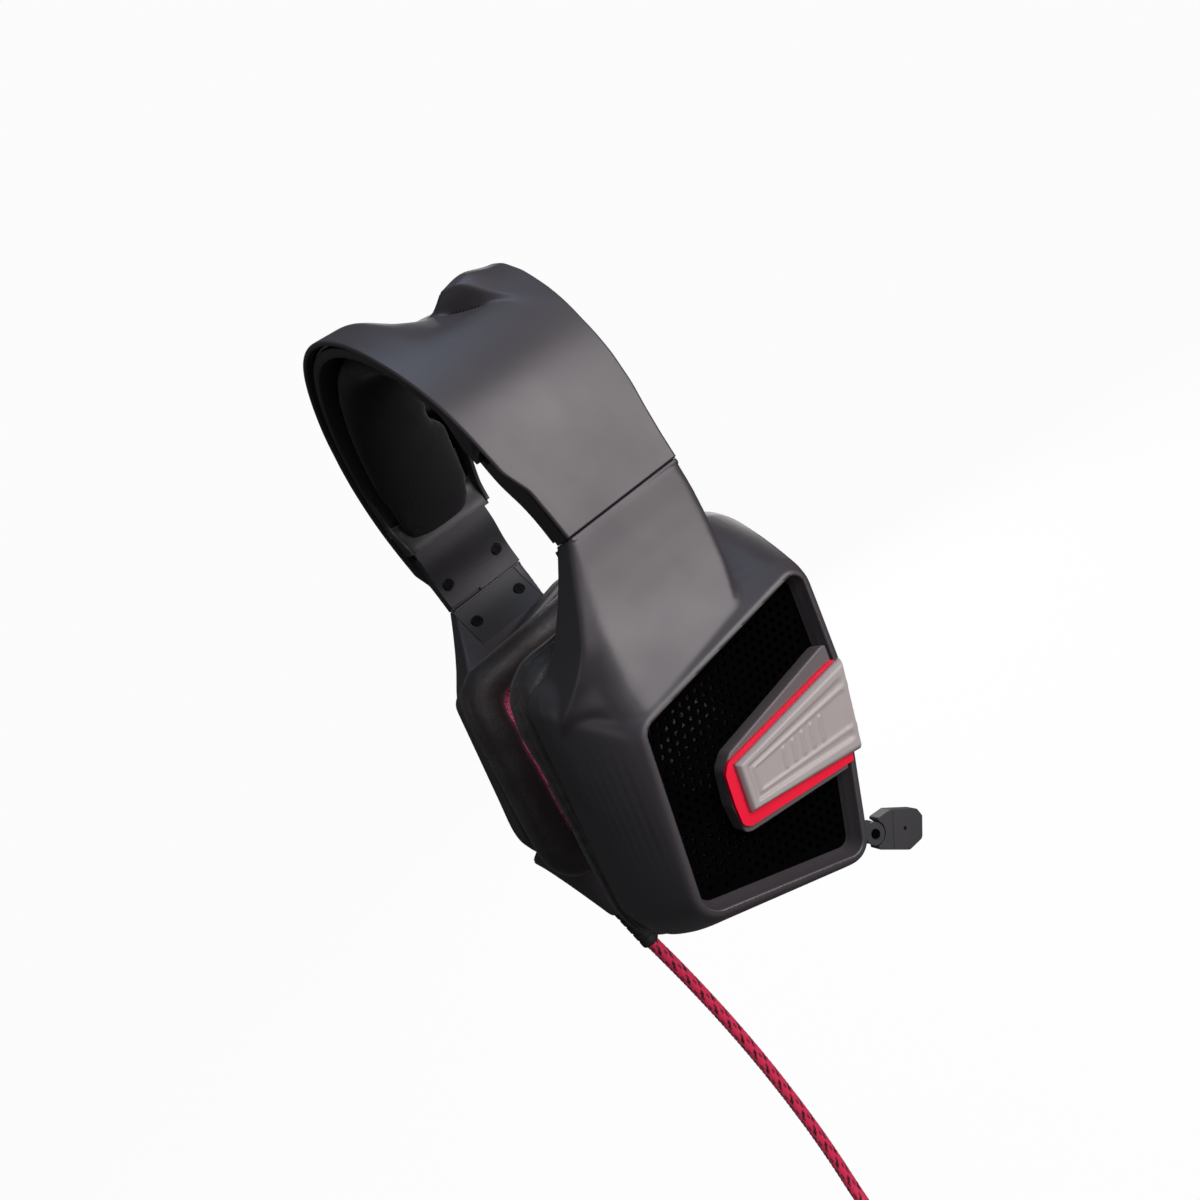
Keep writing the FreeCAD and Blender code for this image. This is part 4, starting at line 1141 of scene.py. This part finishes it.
def arm_ring(corners, grow, z, side):
    plan = rounded(corners, grow, 5)
    return np.column_stack([plan[:, 0] * side, plan[:, 1], np.full(len(plan), z)])


def arm_inner(heights):
    """Inner x of the arm."""
    rows = np.array(ARM_SECTIONS, float)[::-1]
    return natural_spline(rows[:, 0], rows[:, 3:4], heights)[:, 0]


def arm(side):
    rows = np.array(ARM_SECTIONS, float)[::-1]
    heights = np.linspace(16, 66, 60)
    smooth = eased(rows, heights, 1.6)
    smooth[:, 2] = arm_inner(heights)
    smooth[-1] = rows[-1, 1:]
    rings = []
    for z, (x_out, x_mid, x_in, rear, rear_out, front) in zip(heights, smooth):
        corners = [(x_out, front, 2.2), (x_out, rear_out, 9.0), (x_mid, rear, 1.2), (x_in, rear, 1.0)]
        rings.append(arm_ring(corners + [(x_in, front, 1.4)], 0, z, side))
    return loft("arm", rings)


def strip_slot(side, grow, above, length):
    way = np.array([STRIP_LEAN, -math.sqrt(1 - STRIP_LEAN ** 2)])
    across = np.array([-way[1], way[0]])
    top = np.array(STRIP_TOP) - way * above
    half = 0.75 + grow
    low, high = top - across * half, top + across * half
    profile = [low, high, high + way * (length + above), low + way * (length + above)]
    return block("slot", profile, -28.0 - grow, -6.0 + grow, side)


def arm_top(side):
    """Crisp end of the arm at the parting line."""
    _, x_out, x_mid, x_in, rear, rear_out, front = ARM_SECTIONS[0]
    corners = [(x_out, front, 1.6), (x_out, rear_out, 0.6), (x_mid, rear, 0.5), (x_in, rear, 0.5)]
    corners.append((x_in, front, 1.0))
    levels = [(64.4, -0.25), (65.0, -0.02), (65.8, -0.02), (66.0, -0.2)]
    return loft("arm_top", [arm_ring(corners, grow, z, side) for z, grow in levels])


ARM_COVER_Y, POCKET_Y = (-30.8, 2.0), (-31.0, 2.2)
COLLAR_X, COLLAR_Y, COLLAR_Z = (75.4, 85.0), (-34.8, 0.6), (66.08, 66.4)
# Room round the slider's strip, and the slot's lowest and highest z
STRIP_SLOT = (0.3, 4, 68)


def cover_line(t):
    """The arm's inner face between the cover plate's ends, moved outward by t."""
    heights = np.linspace(*ARM_COVER_Z, 14)
    return [(x + t, z) for x, z in zip(arm_inner(heights), heights)]


def make_shroud(side, prefix, bosses, cutters):
    """Arm and cup housing in one moulding, with its openings cut after the corners are eased."""
    body = join(housing(side), arm(side), *bosses)
    soften(body, 0.6, 9)
    join(body, arm_top(side))
    share = (GRILLE_X - 0.6 - SHOULDER_X) / (RIM_X - SHOULDER_X)
    top = between(BASE, RIM, share)
    chamber = loft("chamber", [
        at_x(rounded(BASE, -WALL), BASE_X - 1, side), at_x(rounded(BASE, -WALL), SHOULDER_X, side),
        at_x(rounded(top, -WALL), GRILLE_X - 0.6, side),
    ])
    seat = GRILLE_X + GRILLE_T
    mouth = [(GRILLE_X - 1, 0.0), (seat + 0.4, 0.0), (seat + 0.9, 0.8), (RIM_X - 0.4, 0.8)]
    mouth += [(RIM_X, 1.1), (RIM_X + 2, 1.1)]
    opening = loft("opening", [at_x(rounded(RIM, more - LIP), x, side) for x, more in mouth])
    inner_side = block("inside", [(30, 0), (50, 0), (50, 80), (30, 80)], -100, 100, side)
    pocket = [(x - 4, z) for x, z in cover_line(0)] + cover_line(ARM_COVER_T + 0.15)[::-1]
    cut(body, chamber, opening, inner_side, block("pocket", pocket, POCKET_Y[0], POCKET_Y[1], side))
    cut(body, strip_slot(side, *STRIP_SLOT))
    bore_screws(body, ARM_SCREWS, side, (71.3, 2.5), (76.5, 1.15))
    cut(body, *cutters)
    body.name = prefix + "_housing"
    dress(body, prefix + "_cup", "shell_plastic", prefix + "_shroud")
    body.data.materials.append(MATERIALS["painted_lighter_strip"])
    # Painted light: the base-wall strip inside the shoulder takes the lighter copy of the shell plastic.
    for face in body.data.polygons:
        x, _, z = (c / MM for c in face.center)
        face.material_index = int(abs(x) < SHOULDER_X - 0.8 and z < 56 and abs(face.normal.x) < 0.6)
    body.data.shade_smooth()
    return body


# Microphone hub on the left cup as (y, z), and the cable's gland as (x, y, radius) at its top and foot
HUB = (-34.0, -27.0)
HUB_R, HUB_FACE_X = 10.5, 91.5
SPINDLE_R, SPINDLE_END_X = 2.5, 99.9
GLAND_TOP, GLAND_FOOT = np.array((62.5, 28.0, 13.0)), np.array((60.0, 24.2, 6.2))
GLAND_Z = (-34.0, -72.0)


def hub_parts():
    """Seat and spindle of the microphone boom, and the tapered gland that the cable leaves from."""
    seat = rod("seat", SHOULDER_X - 6, HUB_FACE_X, *HUB, HUB_R, segments=48)
    spindle = rod("spindle", HUB_FACE_X - 1, SPINDLE_END_X, *HUB, SPINDLE_R)
    c, s = circle(40)
    rings = []
    for share in np.linspace(0, 1, 8):
        x, y, r = GLAND_TOP + (GLAND_FOOT - GLAND_TOP) * (share, share, share ** 0.8)
        z = GLAND_Z[0] + (GLAND_Z[1] - GLAND_Z[0]) * share
        rings.append(np.column_stack([x + r * c, y + r * s, np.full(40, z)]))
    return [seat, spindle, loft("gland", rings)]


def cable_bore():
    x, y, _ = GLAND_FOOT
    return turned("bore", [(3.0, GLAND_Z[1] - 1), (3.0, -40.0)], (x, y, 0.0), 32)


def make_arm_cover(side, prefix):
    """Plate let into the arm's inner face, over the slider."""
    low, high = cover_line(0.0), cover_line(ARM_COVER_T)
    plate_piece = block(prefix + "_arm_plate", low + high[::-1], *ARM_COVER_Y, side)
    bore_screws(plate_piece, ARM_SCREWS, side, SCREW_HOLE, (71.2, SCREW_SEAT_R))
    bevel(plate_piece, 0.2, 2, 30)
    dress(plate_piece, prefix + "_cup", "inner_plastic", prefix + "_arm_cover")


def make_collar(side, prefix):
    """Thin plate across the band's end, just above the arm, painted near-black as the shade in the gap there.
    """
    (inner, outer), (low, high) = COLLAR_X, COLLAR_Z
    profile = [(inner, low), (outer, low), (outer, high), (inner, high)]
    collar = cut(block(prefix + "_collar", profile, *COLLAR_Y, side), strip_slot(side, *STRIP_SLOT))
    dress(collar, "headband", "inner_plastic", material="painted_shade_and_insulator_black")


for make in (make_arm_cover, make_collar):
    for prefix, side in SIDES.items():
        make(side, prefix)
make_shroud(-1.0, "right", [], [])
make_shroud(1.0, "left", hub_parts(), [cable_bore()])


# ---------------------------------------------------------------- grilles, inserts and speaker cloth

SLAB = [(-36.0, 9.0), (4.8, 5.4), (8.4, 3.2), (12.0, -4.5), (13.2, -11.0), (11.6, -12.0), (-22.0, -19.6)]
TRIM = [(-34.0, 4.8), (7.0, 4.4), (9.2, 2.6), (11.6, -4.0), (12.9, -8.8), (11.5, -10.3), (-21.0, -17.8)]
SLAB_TOP_X = 95.2
TRIM_T, CAP_T = 1.2, 2.2
HOLE_PITCH, HOLE_R = 2.5, 0.72
# The cushion's outer outline as (y, z, corner radius)
CUSHION = [
    (28.8, 46.8, 17.5), (45.4, -46.0, 17.5), (-20.0, -47.0, 24.0), (-47.0, -4.0, 30.0), (-49.0, 49.0, 16.0),
]


def inside(points, outline, margin):
    """Which points lie inside the convex outline by at least margin."""
    ways = np.roll(outline, -1, axis=0) - outline
    keep = np.linalg.norm(ways, axis=1) > 1e-6
    ways, starts = ways[keep], outline[keep]
    ways /= np.linalg.norm(ways, axis=1)[:, None]
    normals = np.column_stack([-ways[:, 1], ways[:, 0]]) * np.sign(signed_area(outline))
    offsets = np.einsum("ij,ij->i", starts, normals)
    return (points @ normals.T - offsets >= margin).all(axis=1)


def make_grille(side, prefix):
    """Sheet with staggered six-sided holes over the whole opening."""
    edge = rounded(RIM, -LIP - 0.05)
    sheet = prism(prefix + "_grille_sheet", edge, GRILLE_X, GRILLE_X + GRILLE_T, side)
    rows = np.arange(-45, 45, HOLE_PITCH * math.sqrt(3) / 2)
    across = np.arange(-45, 45, HOLE_PITCH)
    centres = np.array([(y + (i % 2) * HOLE_PITCH / 2, z) for i, z in enumerate(rows) for y in across])
    centres = centres[inside(centres, edge, HOLE_R + 1.0)]
    corner = np.radians(np.arange(6) * 60 + 30)
    points, faces = [], []
    for y, z in centres:
        base = len(points)
        for x in (GRILLE_X - 1, GRILLE_X + GRILLE_T + 1):
            points += [(x * side, y + HOLE_R * math.cos(a), z + HOLE_R * math.sin(a)) for a in corner]
        faces += [(base + k, base + (k + 1) % 6, base + 6 + (k + 1) % 6, base + 6 + k) for k in range(6)]
        faces += [tuple(base + k for k in range(6)), tuple(base + 6 + k for k in range(6))]
    cutter = mesh_piece("holes", points, faces, False)
    outward(cutter)
    cut(sheet, cutter)
    sheet.data.shade_flat()
    dress(sheet, prefix + "_cup", "grille_black", prefix + "_grille")


def plate(name, corners, radius, x0, x1, side, limit):
    """Flat piece with rounded corners, kept inside the limiting outline."""
    outline = rounded([(y, z, radius) for y, z in corners], 0, 6)
    piece = prism(name, outline, x0, x1, side)
    combine(piece, prism("limit", limit, x0 - 3, x1 + 3, side), "INTERSECT")
    return piece


def make_insert(side, prefix):
    """Dark slab and crimson trim as flat layers, and the light wing on them."""
    seat, top = GRILLE_X + GRILLE_T, SLAB_TOP_X
    layers = [
        ("slab", "base", "insert_dark", SLAB, 3.2, seat, top, -LIP - 0.05, 0.5),
        ("edge", "trim", "insert_crimson", TRIM, 2.6, top, top + TRIM_T, -2.3, 0.45),
    ]
    for name, node, slot, corners, radius, x0, x1, grow, ease in layers:
        layer = plate(f"{prefix}_insert_{name}", corners, radius, x0, x1, side, rounded(RIM, grow))
        bevel(layer, ease, 3)
        dress(layer, prefix + "_cup", slot, f"{prefix}_insert_{node}")
    make_cap(side, prefix)


def make_cap(side, prefix):
    """Light wing over the trim: a sunk field between two raised borders, with plain ribs across it."""
    columns, rows = 110, 54
    tall, wide = 18, 44
    front_top, rear_top = np.array((-32.2, 4.1)), np.array((6.2, 3.3))
    front_low, rear_low = np.array((-22.2, -16.4)), np.array((10.0, -7.6))
    low_x = SLAB_TOP_X + TRIM_T
    u, v = np.linspace(0, 1, columns)[:, None], np.linspace(0, 1, rows)[None, :]
    top = front_top + (rear_top - front_top) * u[..., None]
    low = front_low + (rear_low - front_low) * u[..., None]
    place = top + (low - top) * v[..., None]
    along_sides = np.minimum(np.minimum(v * tall, (1 - v) * tall), (1 - u) * wide)
    from_edge = np.minimum(along_sides, u * 60 + 0.5)
    crown = CAP_T * np.clip(from_edge / 1.2, 0, 1) ** 0.6
    border = smooth_step(along_sides, 2.6, 3.6)
    field = 0.55 * border * smooth_step(u, 0.02, 0.10)
    ridge = 0.35 * np.exp(-((along_sides - 5.0) / 0.5) ** 2) * border
    height = crown - field + ridge + rib_row(u, v) * border
    upper = np.concatenate([(low_x + np.clip(height, 0.0, CAP_T))[..., None] * side, place], axis=2)
    lower = np.concatenate([np.full((columns, rows, 1), low_x * side), place], axis=2)
    count = columns * rows
    faces = []
    for i in range(columns - 1):
        for j in range(rows - 1):
            quad = (i * rows + j, (i + 1) * rows + j, (i + 1) * rows + j + 1, i * rows + j + 1)
            faces += [quad, tuple(k + count for k in (quad[0], *quad[:0:-1]))]
    loop = [i * rows for i in range(columns)] + [(columns - 1) * rows + j for j in range(1, rows)]
    loop += [i * rows + rows - 1 for i in range(columns - 2, -1, -1)] + [j for j in range(rows - 2, 0, -1)]
    for a, b in zip(loop, loop[1:] + loop[:1]):
        faces.append((a, b, b + count, a + count))
    points = np.concatenate([upper.reshape(-1, 3), lower.reshape(-1, 3)])
    cap = mesh_piece(prefix + "_insert_wing", points, faces)
    modify(cap, "WELD", merge_threshold=0.00003)
    bake(cap)
    outward(cap)
    dress(cap, prefix + "_cup", "insert_light", prefix + "_insert_cap")


def rib_row(u, v):
    """Five slanted plain ribs in the middle of the field."""
    total = 0
    for k in range(5):
        centre = 0.30 + 0.085 * k + 0.03 * (v - 0.5)
        rib = np.exp(-(((u - centre) / 0.014) ** 4)) * smooth_step(0.17 - np.abs(v - 0.5), 0.0, 0.03)
        total = total + 0.32 * rib
    return total


# How far the cloth lies inside the cushion's outline, its x, its bow toward the ear and its thickness
CLOTH_SET_IN, CLOTH_X, CLOTH_BOW, CLOTH_T = 16.0, 49.4, 1.5, 0.5


def make_speaker_cloth(side, prefix):
    """Open mesh stretched over the speaker, bowed a little toward the ear."""
    outline = rounded(CUSHION, -CLOTH_SET_IN, 6)
    middle = outline.mean(axis=0)
    rings = []
    for k, share in enumerate(np.linspace(1, 0.06, 16)):
        bow = CLOTH_BOW * (1 - share ** 2)
        rings.append(at_x(middle + (outline - middle) * share, CLOTH_X - bow, side))
    cloth = loft(prefix + "_ear_mesh", rings)
    work = bmesh.new()
    work.from_mesh(cloth.data)
    work.faces.ensure_lookup_table()
    biggest = max(work.faces, key=lambda face: face.calc_area())
    work.faces.remove(biggest)
    work.to_mesh(cloth.data)
    work.free()
    modify(cloth, "SOLIDIFY", thickness=CLOTH_T * MM, offset=0.0)
    bake(cloth)
    dress(cloth, prefix + "_cup", "speaker_cloth", prefix + "_speaker_cloth")
    low, high = outline.min(axis=0), outline.max(axis=0)
    flat, area = tuple((high - low) * MM), abs(signed_area(outline)) * MM * MM


# ---------------------------------------------------------------- ear cushions

CUSHION_X = (30.0, 49.4)
CUSHION_WIDTH = 17.6
# The cushion is fixed to the cup beyond one x, and sewn round at another
CUSHION_HELD_X = 47.0
SEAM_X = 43.6


def cushion_ring(share, side):
    """Outline at one place round the cushion's section; share runs round it once."""
    angle = share * 2 * math.pi
    c, s = bulged(math.cos(angle), 2.6), bulged(math.sin(angle), 2.6)
    half_x = (CUSHION_X[1] - CUSHION_X[0]) / 2 - 0.8
    half_w = CUSHION_WIDTH / 2 - 1.0
    x = (CUSHION_X[0] + CUSHION_X[1]) / 2 + c * half_x
    grow = -CUSHION_WIDTH / 2 + s * half_w
    if x < 40:
        grow -= 1.28 * ((40 - x) / 10) ** 2 * np.sign(s)
    return at_x(rounded(CUSHION, grow - 0.5, 12), x, side)


def make_cushion(side, prefix):
    ring = loft(prefix + "_cushion", [cushion_ring(k / 26, side) for k in range(26)], closed=True)
    puff(ring, 3.0, 4.0, 2.2, lambda co: abs(co[0]) > CUSHION_HELD_X)
    subdivide(ring)
    bake(ring)

    def folds(x, y, z):
        around = np.arctan2(z, y + 4)
        from_seam = np.abs(x) - SEAM_X
        seam = -0.75 * np.exp(-(from_seam / 0.55) ** 2)
        pulled = 0.08 * np.sin(around * 46 + 2.0 * np.sin(around * 7)) * np.exp(-(from_seam / 3.2) ** 2)
        waves = 0.28 * np.sin(around * 9 + 1.3) * np.sin(around * 4 - 0.4) * smooth_step(44 - np.abs(x), 0, 8)
        return seam + pulled + waves

    push(ring, folds)
    dress(ring, prefix + "_cup", "cushion_leather", prefix + "_ear_cushion")


for prefix, side in SIDES.items():
    make_grille(side, prefix)
    make_insert(side, prefix)
    make_speaker_cloth(side, prefix)
    make_cushion(side, prefix)


# ---------------------------------------------------------------- microphone capsule

MIC_X, MIC_T, MIC_TILT = 75.0, 7.0, 39.0
MIC_HINGE = (-94.0, -144.0)
MIC_PIN_R = 1.56
MIC_OUTLINE = [
    (2.2, -7.8, 1.0), (20.5, -9.0, 3.0), (28.4, -3.8, 3.0), (29.0, 7.2, 1.5), (25.8, 10.7, 1.5),
    (9.6, 11.0, 1.5), (2.2, 7.3, 1.0),
]
MIC_HOLE = (18.0, 1.5)
MIC_TONGUE_R, MIC_TONGUE_HALF = 4.2, 1.6


def along_mic(points):
    """(along, across) pairs in the capsule's own plane turned into (y, z)."""
    cos, sin = math.cos(math.radians(MIC_TILT)), math.sin(math.radians(MIC_TILT))
    y, z = MIC_HINGE
    s, t = np.asarray(points, float).T
    return np.column_stack([y - s * cos - t * sin, z - s * sin + t * cos])


def make_capsule():
    """Flat capsule, hollowed round the boom's end, with a tongue that goes into the boom's fork."""
    y, z = MIC_HINGE
    low, high = MIC_X - MIC_T / 2, MIC_X + MIC_T / 2
    capsule = prism("mic_capsule_body", along_mic(rounded(MIC_OUTLINE, 0, 6)), low, high)
    cut(capsule, rod("hollow", 60, 90, y, z, 6.3, segments=64))
    bevel(capsule, 0.7, 3, 40)
    r, inner, outer = MIC_TONGUE_R, MIC_X - MIC_TONGUE_HALF, MIC_X + MIC_TONGUE_HALF
    tongue = prism("tongue", along_mic([(0.0, -r), (9.0, -r), (9.0, r), (0.0, r)]), inner, outer)
    join(capsule, tongue, rod("tongue_end", inner, outer, y, z, r))
    hole_y, hole_z = along_mic([MIC_HOLE])[0]
    seam = along_mic([(10.5, -8.0), (11.1, -8.0), (11.1, 10.0), (10.5, 10.0)])
    cut(capsule, rod("pin_hole", 60, 90, y, z, MIC_PIN_R))
    cut(capsule, rod("sound_hole", low - 1, low + 2, hole_y, hole_z, 1.0))
    cut(capsule, prism("seam", seam, low - 1, low + 0.3))
    capsule.data.shade_smooth()
    capsule.data.set_sharp_from_angle(angle=math.radians(35))
    modify(capsule, "WEIGHTED_NORMAL", keep_sharp=True)
    bake(capsule)
    dress(capsule, "mic_capsule", "mic_plastic", "mic_capsule")


make_capsule()
